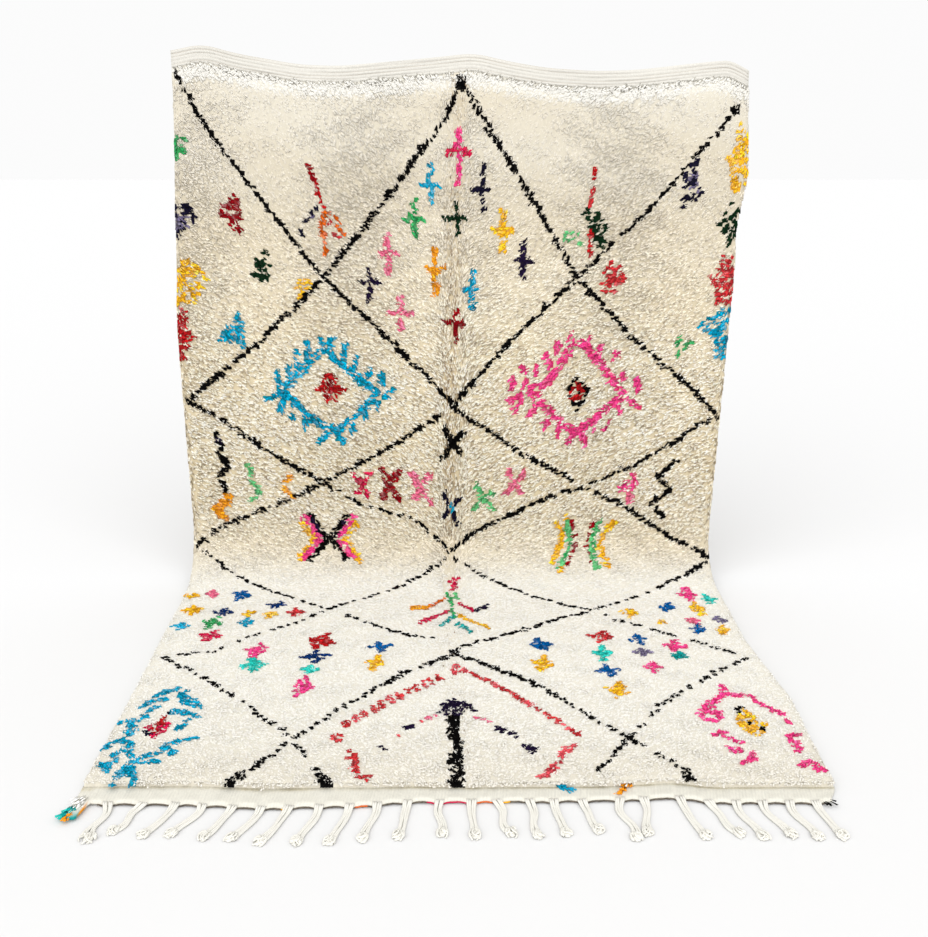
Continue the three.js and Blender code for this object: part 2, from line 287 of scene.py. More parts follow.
def right_figures():
    """The small figures down the right edge and the spear over the right crossing."""
    patch("navy", (605, 300), (662, 285), (667, 385), (650, 412), (612, 418), (622, 350), cover=0.42)
    patch("lilac", (625, 330), (655, 320), (655, 385), (630, 390), cover=0.35)
    patch("yellow", (800, 205), (755, 228), (755, 263), (722, 285), (748, 312), (742, 350), (770, 380),
          (800, 300), cover=0.86)
    patch("dark green", (800, 398), (740, 418), (708, 460), (745, 482), (742, 510), (790, 528), cover=0.42)
    patch("coral", (795, 538), (735, 568), (698, 608), (722, 632), (722, 670), (765, 688), (795, 625),
          cover=0.7)
    patch("blue", (780, 680), (715, 713), (672, 735), (715, 762), (733, 785), (733, 818), (780, 838),
          cover=0.82)
    patch("green", (628, 733), (678, 795), (640, 812), (618, 842), (618, 780), cover=0.55)
    patch("coral", (435, 548), (477, 595), (465, 627), (425, 652), (403, 640), (413, 585), cover=0.62)
    patch("dark green", (362, 408), (395, 428), (422, 475), (417, 522), (380, 527), (378, 475), (348, 430),
          cover=0.72)
    patch("light green", (293, 490), (320, 473), (355, 483), (342, 522), (308, 527), cover=0.5)
    stroke("red", (370, 475), (370, 545), wide=14, cover=0.9)
    stroke("red", (380, 310), (375, 345), wide=12)
    stroke("coral", (370, 358), (370, 410), wide=13, cover=0.75)


def eye(wool, ring, lashes, wide):
    """An eye: a lozenge ring of this width, with short lashes that point out of it."""
    stroke(wool, *ring, ring[0], wide=wide, cover=0.96)
    for outer, inner in lashes:
        stroke(wool, outer, inner, wide=19, cover=0.97)


def eyes():
    """The blue eye and the pink eye of the second row, each with a small heart."""
    eye("blue", [(-375, 802), (-440, 860), (-503, 925), (-430, 1000), (-357, 1048), (-290, 1000),
                 (-232, 935), (-305, 870)],
        [((-392, 768), (-375, 800)), ((-348, 772), (-365, 795)), ((-427, 782), (-420, 840)),
         ((-461, 808), (-455, 826)), ((-462, 842), (-455, 870)), ((-487, 855), (-475, 885)),
         ((-517, 868), (-508, 912)), ((-552, 957), (-505, 925)), ((-512, 988), (-500, 945)),
         ((-482, 998), (-474, 1010)), ((-442, 1037), (-433, 1008)), ((-407, 1084), (-375, 1050)),
         ((-326, 1084), (-352, 1048)), ((-305, 1052), (-305, 1022)), ((-266, 1012), (-265, 975)),
         ((-230, 982), (-230, 950)), ((-183, 918), (-215, 950)), ((-220, 868), (-215, 912)),
         ((-256, 858), (-254, 886)), ((-283, 822), (-300, 862)), ((-319, 783), (-325, 826))], wide=26)
    patch("red", (-365, 872), (-322, 920), (-365, 964), (-408, 920), cover=1)
    stroke("dark red", (-365, 895), (-365, 940), wide=20)
    eye("magenta", [(345, 792), (372, 802), (410, 850), (460, 913), (488, 937), (455, 958), (375, 1030),
                    (348, 1055), (290, 1005), (235, 950), (208, 920), (252, 910), (285, 870), (322, 803)],
        [((320, 763), (330, 795)), ((376, 772), (360, 792)), ((284, 783), (290, 815)),
         ((254, 812), (265, 860)), ((188, 850), (196, 876)), ((224, 857), (230, 880)),
         ((159, 883), (165, 921)), ((193, 893), (197, 917)), ((183, 932), (187, 962)),
         ((148, 956), (182, 950)), ((172, 988), (168, 968)), ((208, 1003), (231, 966)),
         ((254, 1013), (260, 1047)), ((294, 1063), (300, 1026)), ((323, 1084), (342, 1056)),
         ((377, 1093), (365, 1060)), ((401, 1052), (396, 1034)), ((436, 1042), (434, 1018)),
         ((477, 993), (465, 960)), ((522, 973), (498, 953)), ((514, 882), (520, 927)),
         ((474, 867), (480, 892)), ((457, 812), (444, 838)), ((412, 792), (398, 832))], wide=25)
    patch("black", (340, 882), (372, 905), (384, 927), (367, 950), (350, 985), (322, 957), (317, 922),
          cover=0.9)
    patch("red", (342, 895), (384, 922), (358, 958), (328, 960), (322, 925), cover=0.8)


def crossed(wool, *arms, wide):
    """Crossed arms, each from one end to the other."""
    for start, middle, end in arms:
        stroke(wool, start, middle, end, wide=wide, cover=0.95)


def middle_rows():
    """The bent lines and crossed arms of the third row, and the two hourglasses of the fourth."""
    stroke("black", (-703, 1048), (-686, 1094), (-697, 1116), (-671, 1148), (-703, 1190), (-680, 1234),
           wide=17, cover=0.9)
    stroke("purple", (-700, 1062), (-686, 1084), wide=12, cover=0.7)
    stroke("amber", (-677, 1239), (-682, 1268), (-728, 1281), (-685, 1322), wide=25, cover=0.95)
    stroke("light green", (-618, 1148), (-603, 1168), (-618, 1188), (-586, 1226), (-618, 1266), wide=14,
           cover=1)
    stroke("amber", (-491, 1182), (-520, 1216), (-489, 1250), wide=16, cover=0.97)
    crossed("crimson", [(-307, 1175), (-285, 1210), (-263, 1245)],
            [(-258, 1172), (-285, 1210), (-302, 1245)], wide=20)
    crossed("dark red", [(-227, 1160), (-203, 1210), (-173, 1260)],
            [(-173, 1165), (-203, 1210), (-228, 1260)], wide=23)
    crossed("pink", [(-138, 1175), (-110, 1228), (-78, 1275)], [(-83, 1178), (-110, 1228), (-138, 1262)],
            wide=21)
    crossed("black", [(-41, 1030), (-14, 1080), (14, 1112)], [(24, 1042), (-14, 1080), (-45, 1130)],
            wide=17)
    crossed("navy", [(-45, 1232), (-20, 1282), (4, 1338)], [(12, 1247), (-20, 1282), (-45, 1318)], wide=16)
    stroke("blue", (-22, 1270), (-10, 1292), wide=16, cover=0.8)
    crossed("light green", [(56, 1207), (78, 1252), (112, 1290)], [(110, 1232), (78, 1252), (50, 1290)],
            wide=17)
    crossed("pink", [(152, 1163), (173, 1207), (196, 1246)], [(200, 1168), (173, 1207), (146, 1240)],
            wide=19)
    patch("magenta", (520, 1176), (530, 1197), (517, 1220), (495, 1236), (470, 1222), (486, 1206),
          cover=0.92)
    stroke("pink", (516, 1237), (509, 1268), wide=21, cover=0.85)
    stroke("black", (645, 1133), (618, 1160), (590, 1185), (632, 1224), (577, 1266), (620, 1318), wide=18,
           cover=0.93)
    middle = -386
    bands = [("yellow", 21, 0.9, [(84, 1328), (44, 1380), (92, 1458)]),
             ("magenta", 20, 0.95, [(76, 1306), (27, 1380), (78, 1450)]),
             ("black", 20, 0.96, [(56, 1303), (5, 1382), (58, 1456)]),
             ("purple", 13, 0.7, [(52, 1318), (30, 1355)])]
    for side in (-1, 1):
        for wool, wide, cover, band_line in bands:
            stroke(wool, *[(middle + side * x, down) for x, down in band_line], wide=wide, cover=cover)
    stroke("yellow", (295, 1316), (314, 1360), (314, 1400), (282, 1464), wide=17, cover=0.92)
    stroke("yellow", (323, 1304), (322, 1328), wide=13, cover=0.9)
    stroke("light green", (327, 1325), (338, 1370), (337, 1410), (318, 1452), (305, 1484), wide=18,
           cover=0.9)
    stroke("green", (330, 1345), (341, 1400), (322, 1450), wide=10, cover=0.5)
    stroke("dark red", (342, 1325), (356, 1362), (356, 1400), (345, 1440), (330, 1472), wide=12, cover=0.8)
    stroke("yellow", (315, 1480), (308, 1503), wide=12, cover=0.9)
    stroke("dark red", (410, 1328), (393, 1372), (391, 1412), (399, 1460), wide=12, cover=0.8)
    stroke("light green", (427, 1318), (415, 1352), (407, 1390), (404, 1420), (414, 1455), (420, 1484),
           wide=20, cover=0.88)
    stroke("green", (420, 1335), (410, 1400), (416, 1460), wide=10, cover=0.5)
    stroke("yellow", (470, 1322), (440, 1364), (425, 1396), (435, 1435), (457, 1483), wide=18, cover=0.92)


def stars():
    """The small stars of the fifth and sixth rows: the place of each, its width and its height."""
    rows = [
        ("yellow", -760, 1615, 35, 40), ("pink", -705, 1605, 40, 50), ("royal blue", -620, 1615, 45, 75),
        ("yellow", -740, 1715, 55, 65), ("dark blue", -650, 1730, 50, 50), ("dark blue", -510, 1680, 45, 45),
        ("yellow", -580, 1740, 35, 45), ("yellow", -515, 1750, 40, 45), ("coral", -450, 1730, 50, 50),
        ("light blue", -745, 1820, 50, 45), ("green", -665, 1800, 50, 75), ("blue", -575, 1795, 40, 45),
        ("crimson", -655, 1880, 60, 70), ("magenta", -515, 1965, 60, 90), ("aqua", -510, 2045, 60, 70),
        ("red", -355, 1910, 70, 95), ("dark blue", -360, 2000, 70, 70), ("aqua", -365, 2070, 45, 50),
        ("magenta", -370, 2155, 50, 110), ("royal blue", -200, 1945, 60, 60), ("yellow", -205, 2035, 45, 85),
        ("magenta", 665, 1610, 50, 95), ("aqua", 720, 1640, 30, 65), ("royal blue", 590, 1695, 55, 55),
        ("yellow", 675, 1710, 40, 90), ("yellow", 480, 1735, 45, 65), ("yellow", 560, 1790, 20, 25),
        ("pink", 645, 1790, 35, 45), ("royal blue", 650, 1835, 40, 55), ("lilac", 720, 1780, 40, 45),
        ("yellow", 715, 1845, 40, 55), ("coral", 385, 1885, 70, 65), ("royal blue", 480, 1900, 40, 65),
        ("magenta", 570, 1940, 60, 70), ("aqua", 375, 1980, 50, 85), ("lilac", 480, 1975, 45, 40),
        ("teal", 570, 1995, 35, 35), ("royal blue", 380, 2075, 60, 60), ("magenta", 495, 2060, 45, 55),
        ("yellow", 390, 2175, 55, 80), ("royal blue", 220, 1935, 60, 75), ("yellow", 220, 2040, 55, 90),
    ]
    for index, (wool, x, down, wide, tall) in enumerate(rows):
        lean = 0.3 * math.sin(index * 2.4)
        reach, rise = wide / 2, tall / 2
        patch(wool, (x - reach * 0.95, down), (x - lean * reach, down - rise), (x + reach * 0.95, down),
              (x + lean * reach, down + rise), cover=0.97)
        stroke(wool, (x - reach, down + lean * rise), (x + reach, down - lean * rise), wide=19, cover=0.93)
        stroke(wool, (x - reach * lean, down - rise), (x + reach * lean, down + rise), wide=18, cover=0.93)


def dabs(wools, start, end, count, lean, rise=15, fall=None, wide=12, sag=0):
    """A row of short dabs of these wools in turn, which lean across its line: each starts that far up
    and ends that far down. The line sags in its middle."""
    for dab in range(count):
        share = (dab + 0.5) / count
        x = start[0] + (end[0] - start[0]) * share
        down = start[1] + (end[1] - start[1]) * share + sag * math.sin(math.pi * share)
        stroke(wools[dab % len(wools)], (x - lean, down - rise), (x + lean, down + (fall or rise)), wide=wide,
               cover=1)


def tree():
    """The tree in the middle of the fifth row, a trunk with hanging boughs."""
    patch("crimson", (-24, 1518), (2, 1516), (4, 1572), (-20, 1582), cover=1)
    stroke("green", (-30, 1585), (-16, 1650), (-13, 1700), (-6, 1765), wide=10, cover=1)
    stroke("light green", (-6, 1590), (-2, 1640), wide=8, cover=0.9)
    dabs(["orange"], (-36, 1628), (-88, 1698), 4, -5, sag=12)
    dabs(["amber"], (-84, 1700), (-132, 1702), 4, -5, wide=14)
    dabs(["crimson"], (-22, 1716), (-104, 1800), 7, -5, rise=13, sag=8)
    dabs(["teal"], (-12, 1752), (-40, 1812), 3, -4, wide=14)
    dabs(["crimson"], (3, 1670), (50, 1722), 4, 6, rise=13)
    dabs(["purple"], (54, 1718), (88, 1690), 3, -6, wide=14)
    dabs(["yellow"], (2, 1742), (94, 1832), 7, 6, rise=13, sag=12)
    dabs(["teal"], (2, 1806), (40, 1852), 4, 5, wide=13)


def chevrons():
    """The last rows: a coral chevron over a violet and pink one on a thick black trunk, and two more eyes."""
    patch("rose", (-10, 2038), (10, 2038), (14, 2085), (-6, 2094), cover=0.85)
    dabs(["rose", "coral", "coral", "coral"], (15, 2065), (278, 2385), 14, 8, rise=11, fall=13, wide=15,
         sag=-18)
    dabs(["coral", "coral", "rose", "coral"], (-34, 2106), (-256, 2342), 12, 8, rise=14, wide=15, sag=-10)
    stroke("rose", (258, 2416), (232, 2468), (186, 2550), wide=20, cover=0.95, broken=0.1)
    stroke("coral", (-263, 2385), (-262, 2412), wide=26, cover=0.85)
    stroke("coral", (-232, 2448), (-208, 2490), (-213, 2522), (-190, 2555), wide=18, cover=0.82)
    stroke("coral", (-190, 2555), (-165, 2548), wide=16, cover=0.8)
    stroke("black", (-4, 2285), (-3, 2400), wide=28, cover=1)
    stroke("black", (6, 2395), (6, 2470), wide=20, cover=1)
    stroke("black", (2, 2450), (4, 2575), wide=30, cover=1)
    patch("purple", (-42, 2286), (-28, 2238), (0, 2210), (24, 2232), (32, 2264), (12, 2290), (-10, 2294),
          cover=0.99)
    stroke("purple", (24, 2242), (45, 2280), wide=16, cover=0.9)
    stroke("pink", (-45, 2290), (-66, 2306), wide=15, cover=0.6)
    stroke("rose", (-75, 2320), (-90, 2335), wide=9, cover=0.4)
    stroke("purple", (-116, 2356), (-92, 2343), wide=19, cover=0.95)
    stroke("rose", (-125, 2380), (-146, 2416), wide=9, cover=0.4)
    stroke("purple", (-170, 2434), (-152, 2446), wide=20, cover=0.95)
    stroke("pink", (50, 2310), (84, 2325), wide=14, cover=0.6)
    stroke("purple", (95, 2348), (115, 2370), (143, 2385), wide=15, cover=0.9)
    stroke("purple", (152, 2420), (176, 2450), wide=18, cover=0.9)
    for arc in [
        [(-707, 2207), (-690, 2185), (-663, 2168)],
        [(-678, 2218), (-715, 2230), (-727, 2257)],
        [(-693, 2248), (-705, 2280), (-716, 2322)],
        [(-647, 2183), (-640, 2230), (-610, 2250), (-587, 2256)],
        [(-630, 2215), (-605, 2245)],
        [(-652, 2278), (-620, 2285), (-593, 2300), (-610, 2330), (-622, 2358)],
        [(-757, 2335), (-740, 2318), (-720, 2355), (-727, 2388)],
        [(-757, 2442), (-750, 2408), (-718, 2405), (-708, 2422), (-705, 2450), (-693, 2478)],
        [(-732, 2453), (-720, 2495), (-747, 2500), (-723, 2522)],
        [(-702, 2552), (-690, 2510), (-670, 2470), (-635, 2450), (-620, 2415), (-573, 2393)],
        [(-677, 2513), (-665, 2545), (-660, 2588)],
        [(-702, 2572), (-693, 2592)],
        [(-610, 2433), (-605, 2463)],
        [(-662, 2495), (-628, 2484)],
    ]:
        stroke("blue", *arc, wide=20, cover=0.93)
    patch("crimson", (-663, 2283), (-643, 2345), (-653, 2378), (-668, 2397), (-702, 2357), (-677, 2323),
          cover=0.9)
    stroke("red", (-666, 2305), (-672, 2378), wide=18, cover=0.7)
    stroke("navy", (-658, 2282), (-662, 2300), wide=12, cover=0.85)
    stroke("navy", (-690, 2362), (-665, 2398), wide=12, cover=0.6)
    for arc in [
        [(635, 2155), (650, 2195), (707, 2206)],
        [(645, 2188), (605, 2230), (575, 2265), (558, 2312), (597, 2322), (612, 2275)],
        [(600, 2240), (590, 2290)],
        [(700, 2223), (720, 2255), (752, 2297)],
        [(748, 2318), (762, 2334)],
        [(762, 2372), (735, 2390), (740, 2410), (747, 2453)],
        [(728, 2506), (760, 2484), (767, 2528)],
        [(578, 2382), (600, 2363), (602, 2400), (632, 2406)],
        [(593, 2428), (600, 2446), (622, 2446)],
        [(636, 2453), (635, 2480), (608, 2497)],
    ]:
        stroke("magenta", *arc, wide=18, cover=0.88)
    patch("yellow", (665, 2252), (687, 2295), (698, 2335), (687, 2367), (665, 2388), (643, 2355),
          (638, 2320), (648, 2283), cover=0.92)
    stroke("black", (658, 2260), (650, 2285), wide=11, cover=0.8)
    stroke("black", (655, 2310), (672, 2330), wide=13, cover=0.7)
    stroke("black", (692, 2345), (675, 2385), wide=12, cover=0.75)


lattice()
crosses()
left_figures()
right_figures()
eyes()
middle_rows()
stars()
tree()
chevrons()


# How the charted knots stand, in millimetres
least_gap = 6.8
knot_run = 9
broken_run = 17
lane_width = 8
knot_body = 4
row_height = 10
knot_width = 12
place_jitter = 1
lane_jitter = 1.3
broken_jitter = 6
shape_jitter = 1.4
fails_where_broken = 0.6


def line_places(points, wide, broken, rng):
    """Places of knots along a line and which way it runs, in as many lanes as its width takes, less
    those that fail."""
    room = max(1, (wide - knot_body) / lane_width)
    lanes = math.ceil(room)
    stands = 1 - fails_where_broken * broken
    places = []
    for (ax, ay), (bx, by) in zip(points[:-1], points[1:]):
        length = math.hypot(bx - ax, by - ay)
        way = math.atan2(bx - ax, by - ay)
        count = max(1, round(length * room / lanes / (knot_run + broken_run * broken)))
        for lane in range(lanes):
            for share in (np.arange(count) + 0.25 + 0.5 * (lane % 2)) / count:
                if rng.random() > stands:
                    continue
                off = (lane / lanes + 0.5 / lanes - 0.5) * (wide - knot_body) + rng.normal(0, lane_jitter)
                share = share + rng.normal(0, place_jitter + broken_jitter * broken) / length
                x = ax + (bx - ax) * share - (by - ay) / length * off + rng.normal(0, place_jitter)
                down = ay + (by - ay) * share + (bx - ax) / length * off + rng.normal(0, place_jitter)
                places.append((x, down, way))
    return np.array(places).reshape(-1, 3)


def shape_places(points, rng):
    """Places of the rows of knots inside a shape with these corners."""
    low, high = np.min(points, 0), np.max(points, 0)
    row, column = np.meshgrid(np.arange(low[1] // row_height, high[1] // row_height + 1),
                              np.arange(low[0] // knot_width, high[0] // knot_width + 2), indexing="ij")
    x = ((column + 0.5 * (row % 2)) * knot_width).ravel()
    down = (row * row_height).ravel()
    within = np.zeros(len(x), bool)
    for (ax, ay), (bx, by) in zip(points, [*points[1:], points[0]]):
        rise = by - ay if by != ay else 1
        within ^= ((ay > down) != (by > down)) & (x < (bx - ax) * (down - ay) / rise + ax)
    no_way = np.full(len(x), math.nan)
    return (np.stack([x, down, no_way], 1) + rng.normal(0, shape_jitter, (len(x), 3)))[within]


def charted_knots(rng):
    """Each dyed knot's place as seen, its wool, and which way its line runs, if it is on one.
    A later line covers an earlier one, so the chart is read from its end."""
    taken = {}
    knots = []
    for mark in reversed(design):
        if mark["wide"]:
            places = line_places(mark["points"], mark["wide"], mark["broken"], rng)
        else:
            places = shape_places(mark["points"], rng)
        wool = wool_names.index(mark["wool"])
        for x, down, way in places[rng.random(len(places)) < mark["cover"]]:
            column, row = int(x // least_gap), int(down // least_gap)
            near = [place for i in (-1, 0, 1) for j in (-1, 0, 1)
                    for place in taken.get((column + i, row + j), [])]
            if all(math.hypot(x - other_x, down - other_down) > least_gap for other_x, other_down in near):
                taken.setdefault((column, row), []).append((x, down))
                knots.append((x, down, wool, way))
    return np.array(knots)


# Maps of the chart in small cells, from a corner off the rug's top left one, in millimetres
chart_cell = 3
chart_origin = (-900, -60)
chart_cells = (600, 960)
knot_radius = 6.5
root_radius = 5.5
tip_radius = 3.2


def chart_map(knots, radius):
    """The wool of each small cell of the rug, with a disc painted for each knot."""
    cells = np.zeros(chart_cells, int)
    reach = math.ceil(radius / chart_cell)
    column = ((knots[:, 0] - chart_origin[0]) / chart_cell).astype(int)
    row = ((knots[:, 1] - chart_origin[1]) / chart_cell).astype(int)
    for i in range(-reach, reach + 1):
        for j in range(-reach, reach + 1):
            if math.hypot(i, j) * chart_cell <= radius:
                cells[column + i, row + j] = knots[:, 2]
    return cells


def read_chart(cells, x, down):
    """The wool at places given in metres."""
    column = ((np.asarray(x) * 1000 - chart_origin[0]) / chart_cell).astype(int)
    row = ((np.asarray(down) * 1000 - chart_origin[1]) / chart_cell).astype(int)
    return cells[np.clip(column, 0, chart_cells[0] - 1), np.clip(row, 0, chart_cells[1] - 1)]


def linear(colour):
    """A colour read on a screen, 0 to 255, as the light that it stands for."""
    share = np.asarray(colour, float) / 255
    return np.where(share <= 0.04045, share / 12.92, ((share + 0.055) / 1.055) ** 2.4)


def wool_light_of(name):
    """The light of one wool, by its name."""
    return wool_table[wool_names.index(name)]


wool_table = np.array([linear(wool_colours[name]) for name in wool_names])
dyed_knots = charted_knots(np.random.default_rng(23))
wool_map = chart_map(dyed_knots, knot_radius)
ground_map = chart_map(dyed_knots, root_radius)
tip_map = chart_map(dyed_knots, tip_radius)

# Painted light on the cream: how light it is made down the cloth where light falls on it differently, and how
# deep its pile shows, in metres along
cream_painted_light = {
    "along": [0.050, 0.064, 0.095, 0.35, 0.60, 0.90, 1.25, 1.37, 1.44, 1.50, 1.60, 2.30, 2.60],
    "light": [0.79, 0.78, 0.755, 0.765, 0.88, 1.00, 1.00, 0.91, 0.78, 0.77, 0.838, 0.843, 0.832],
}
pile_reliefs = {
    "along": [0.06, 0.20, 0.40, 0.70, 0.90, 1.24, 1.37, 1.46, 1.54, 2.10, 2.35, 2.60],
    "relief": [0.10, 0.28, 0.55, 0.80, 1.00, 1.05, 0.80, 0.45, 0.04, 0.04, 0.16, 0.18],
}
light_soften = 0.012
relief_soften = 0.080

# How much painted warm shade yellows the cream on each part of the rug, and what the full shade takes from
# its light
hung_shade_tint = 0.45
deep_shade_tint = 0.25
patchy_shade_tint = 0.22
near_shade_tint = 0.25
shade_tint_takes = np.array([0.095, 0.155, 0.258])

# How many dyed knots are faded, how far at most, towards what, and how uneven the dyes are
faded_share = 0.3
faded_most = 0.16
faded_light = 0.6
dyed_uneven = 1.8
whitest_wool = 0.92


def relief(along):
    """How deep the pile shows along the cloth, in metres: shaggiest where it hangs lowest, brushed flat
    on the floor. It also sets how strong the strands' painted shade and highlight are."""
    return read_off(pile_reliefs, "along", "relief", along, relief_soften)


def wool_light(x, along, chosen, rng, spread):
    """The colour of each knot: its wool's, a little lighter or darker as hand-dyed wool is. The cream
    has painted light, lighter or darker down the cloth, and painted warm shade, yellower on the hanging half,
    most in its middle, and white just under the heading."""
    colours = wool_table[chosen]
    cream = chosen == 0
    hang = smooth(along, 62, 90) * (1 - smooth(along, 1400, 1560))
    deep = smooth(along, 170, 520) * (1 - smooth(along, 1390, 1530))
    near = smooth(along, 2330, 2560)
    streak = 0.5 + 0.5 * np.sin(x / 170 + 1.1 * np.sin(along / 90)) * np.sin(along / 61 + np.sin(x / 210))
    patches = patchy_shade_tint * streak * (1 - smooth(along, 170, 420))
    # Painted warm shade: a yellow tint on the hanging half, deepest in its middle and in patches near the
    # top, and near the band.
    tan = (hang * (hung_shade_tint + deep_shade_tint * deep + patches) + near_shade_tint * near) * (0.85 + 0.3 * streak)
    # Painted light: the cream made lighter or darker down the cloth where light falls on it differently.
    painted_light = read_off(cream_painted_light, "along", "light", along / 1000, light_soften)
    tinted = colours * painted_light[:, None] * (1 - tan[:, None] * shade_tint_takes)
    light_dye = colours.max(1) > 0.1
    faded = faded_most * light_dye * (rng.random(len(x)) < faded_share) * rng.random(len(x))
    colours = np.where(cream[:, None], tinted, colours + (faded_light - colours) * faded[:, None])
    uneven = np.where(cream, 0.1 + 0.3 * relief(along / 1000), dyed_uneven)
    shade = 1 + spread * rng.standard_normal(len(x)) * uneven
    return np.clip(colours * np.clip(shade, 0.55, 1.5)[:, None], 0, whitest_wool)


# The ground weave
# Cotton warps packed with cream wool wefts, about 5 mm thick where they show: the heading with its five
# raised ribs at the top, and under the pile a dense ground whose back shows every knot flat.
weave_thickness = 0.006
weave_front = weave_thickness - half_thickness
rib_count = 5
rib_height = 0.0022
rib_rows = 6
rib_fullness = 0.7
rib_pitch = heading_height / rib_count
knot_step = 0.0136
bed_out = 0.0066
fold_x = -0.008
fold_width = 0.026
fold_depth = 0.0045
rim_round = 0.003
ground_uneven = 0.04
weave_white = linear((210, 207, 199))
weave_cream = linear((230, 227, 215))

# Painted shade: what it takes from the light of the wool at a strand's foot, in the fold and in the furrows
# between ribs
foot_shade_tone = np.array([0.98, 0.96, 0.90])
deep_foot_shade_takes = [0.30, 0.35, 0.45]
fold_shade_takes = [0.08, 0.12, 0.18]
furrow_shade_takes = [0.16, 0.19, 0.22]
furrow_start = 0.36

# Where the pile starts and ends, and how deep the near band is across the rug
pile_start = heading_height + 0.005
pile_end = cloth_length - band_depth
band_depths = {
    "across": [-0.775, -0.640, -0.400, -0.240, -0.125, 0, 0.240, 0.300, 0.430, 0.500, 0.775],
    "depth": [0.056, 0.058, 0.062, 0.061, 0.053, 0.045, 0.047, 0.046, 0.050, 0.049, 0.051],
}
band_soften = 0.03
drawn_length = 0.300


def drawn_in(across, along):
    """Along the cloth, with the pile's last rows drawn to where the near band really starts."""
    extra = read_off(band_depths, "across", "depth", across, band_soften) - band_depth
    return along - extra * smooth(along, pile_end - drawn_length, pile_end)


def lumps(across, along):
    """Low lumps over the whole pile, where the ground is not quite level."""
    return 0.0010 * np.sin(across / 0.038) * np.sin(along / 0.019 + 1.3 * np.sin(across / 0.150))


def painted_root_shade(along):
    """Painted shade at the wool's foot: darker and yellower, most where the pile is deepest."""
    return foot_shade_tone * (1 - relief(along)[:, None] * deep_foot_shade_takes)


def fold_at(across, along):
    """How strong the fold in the rug's middle is: 1 at its line, and faint on the floor."""
    return np.exp(-((across - fold_x) / fold_width) ** 2) * (1 - 0.7 * smooth(along, 1.55, 1.80))


def ground_rows():
    """Where each row of the ground lies along the cloth, and how far its front stands out there."""
    rows = []
    for step in range(rib_count * rib_rows):
        arch = abs(math.sin(math.pi * (step / rib_rows % 1))) ** rib_fullness
        rows.append((step / rib_rows * rib_pitch, weave_front + rib_height * arch))
    rows.append((heading_height, weave_front))
    count = round((pile_end - pile_start) / knot_step)
    for along in np.linspace(pile_start, pile_end - 0.008, count + 1):
        rows.append((along, bed_out))
    rows.append((pile_end - 0.004, weave_front))
    return np.array(rows).T


def merge_mesh(name, points, faces, colours, cells=None):
    """A mesh object of points and groups of faces with as many corners each. Colours are a row for each
    point or corner, and cells a place on the map for each corner."""
    mesh = bpy.data.meshes.new(name)
    sizes = np.concatenate([np.full(len(group), group.shape[1]) for group in faces])
    corners = np.concatenate([group.ravel() for group in faces])
    mesh.vertices.add(len(points))
    mesh.vertices.foreach_set("co", np.asarray(points, np.float32).ravel())
    mesh.loops.add(len(corners))
    mesh.loops.foreach_set("vertex_index", corners.astype(np.int32))
    mesh.polygons.add(len(sizes))
    starts = np.concatenate([[0], np.cumsum(sizes)[:-1]])
    mesh.polygons.foreach_set("loop_start", starts.astype(np.int32))
    mesh.polygons.foreach_set("use_smooth", np.ones(len(sizes), bool))
    mesh.update(calc_edges=True)
    domain = "POINT" if len(colours) == len(points) else "CORNER"
    layer = mesh.color_attributes.new("wool", "FLOAT_COLOR", domain)
    full = np.ones((len(colours), 4), np.float32)
    full[:, :3] = colours
    layer.data.foreach_set("color", full.ravel())
    if cells is not None:
        mesh.uv_layers.new(name="OFBake").uv.foreach_set("vector", np.asarray(cells, np.float32).ravel())
    piece = bpy.data.objects.new(name, mesh)
    bpy.context.scene.collection.objects.link(piece)
    return piece


def grid_faces(rows, columns, first):
    """Four-cornered faces over a grid of points that are numbered row by row from first."""
    corner = first + (np.arange(rows - 1)[:, None] * columns + np.arange(columns - 1)).ravel()
    return np.stack([corner, corner + 1, corner + columns + 1, corner + columns], 1)


def closed_sheet(front, back):
    """A closed sheet between two grids of points: its points and its faces, the front ones first."""
    rows, columns = front.shape[:2]
    count = rows * columns
    points = np.concatenate([front.reshape(-1, 3), back.reshape(-1, 3)])
    front_faces = grid_faces(rows, columns, 0)[:, ::-1]
    back_faces = grid_faces(rows, columns, count)
    number = np.arange(count).reshape(rows, columns)
    rim = np.concatenate([number[0], number[1:, -1], number[-1, -2::-1], number[-2::-1, 0]])
    rim_faces = np.stack([rim[:-1], rim[1:], rim[1:] + count, rim[:-1] + count], 1)
    return points, np.concatenate([front_faces, back_faces, rim_faces])


def ground_colours(grid_across, grid_along, rng):
    """The ground's colour at each face of its front and then of its back, with painted shade at the strands'
    feet, in the fold and in the heading's furrows. The back shows every knot.
    """
    face_across = np.tile(((grid_across[:-1, :-1] + grid_across[1:, 1:]) / 2).ravel(), 2)
    face_along = np.tile(((grid_along[:-1, :-1] + grid_along[1:, 1:]) / 2).ravel(), 2)
    x, down = place_of(face_across, face_along)
    front = len(x) // 2
    chosen = np.concatenate([read_chart(ground_map, x[:front], down[:front]),
                             read_chart(wool_map, x[front:], down[front:])])
    # Painted shade of the strands' feet, on the ground between them.
    colours = wool_light(x * 1000, face_along * 1000, chosen, rng, ground_uneven) * painted_root_shade(face_along)
    # Painted shade in the fold.
    colours *= 1 - fold_at(face_across, face_along)[:, None] * fold_shade_takes
    # Painted shade in the furrows between the heading's ribs, stronger in some places than others.
    in_rib = face_along / rib_pitch % 1
    furrow_shade_strength = 0.5 + 0.5 * np.sin(face_across / 0.13 + 1.7 * (face_along // rib_pitch))
    furrow_shade = (np.abs(in_rib - 0.5) > furrow_start) * furrow_shade_strength
    in_heading = face_along < heading_height
    colours[in_heading] = weave_white * (1 - furrow_shade[in_heading][:, None] * furrow_shade_takes)
    colours[face_along > pile_end] = weave_cream
    return colours


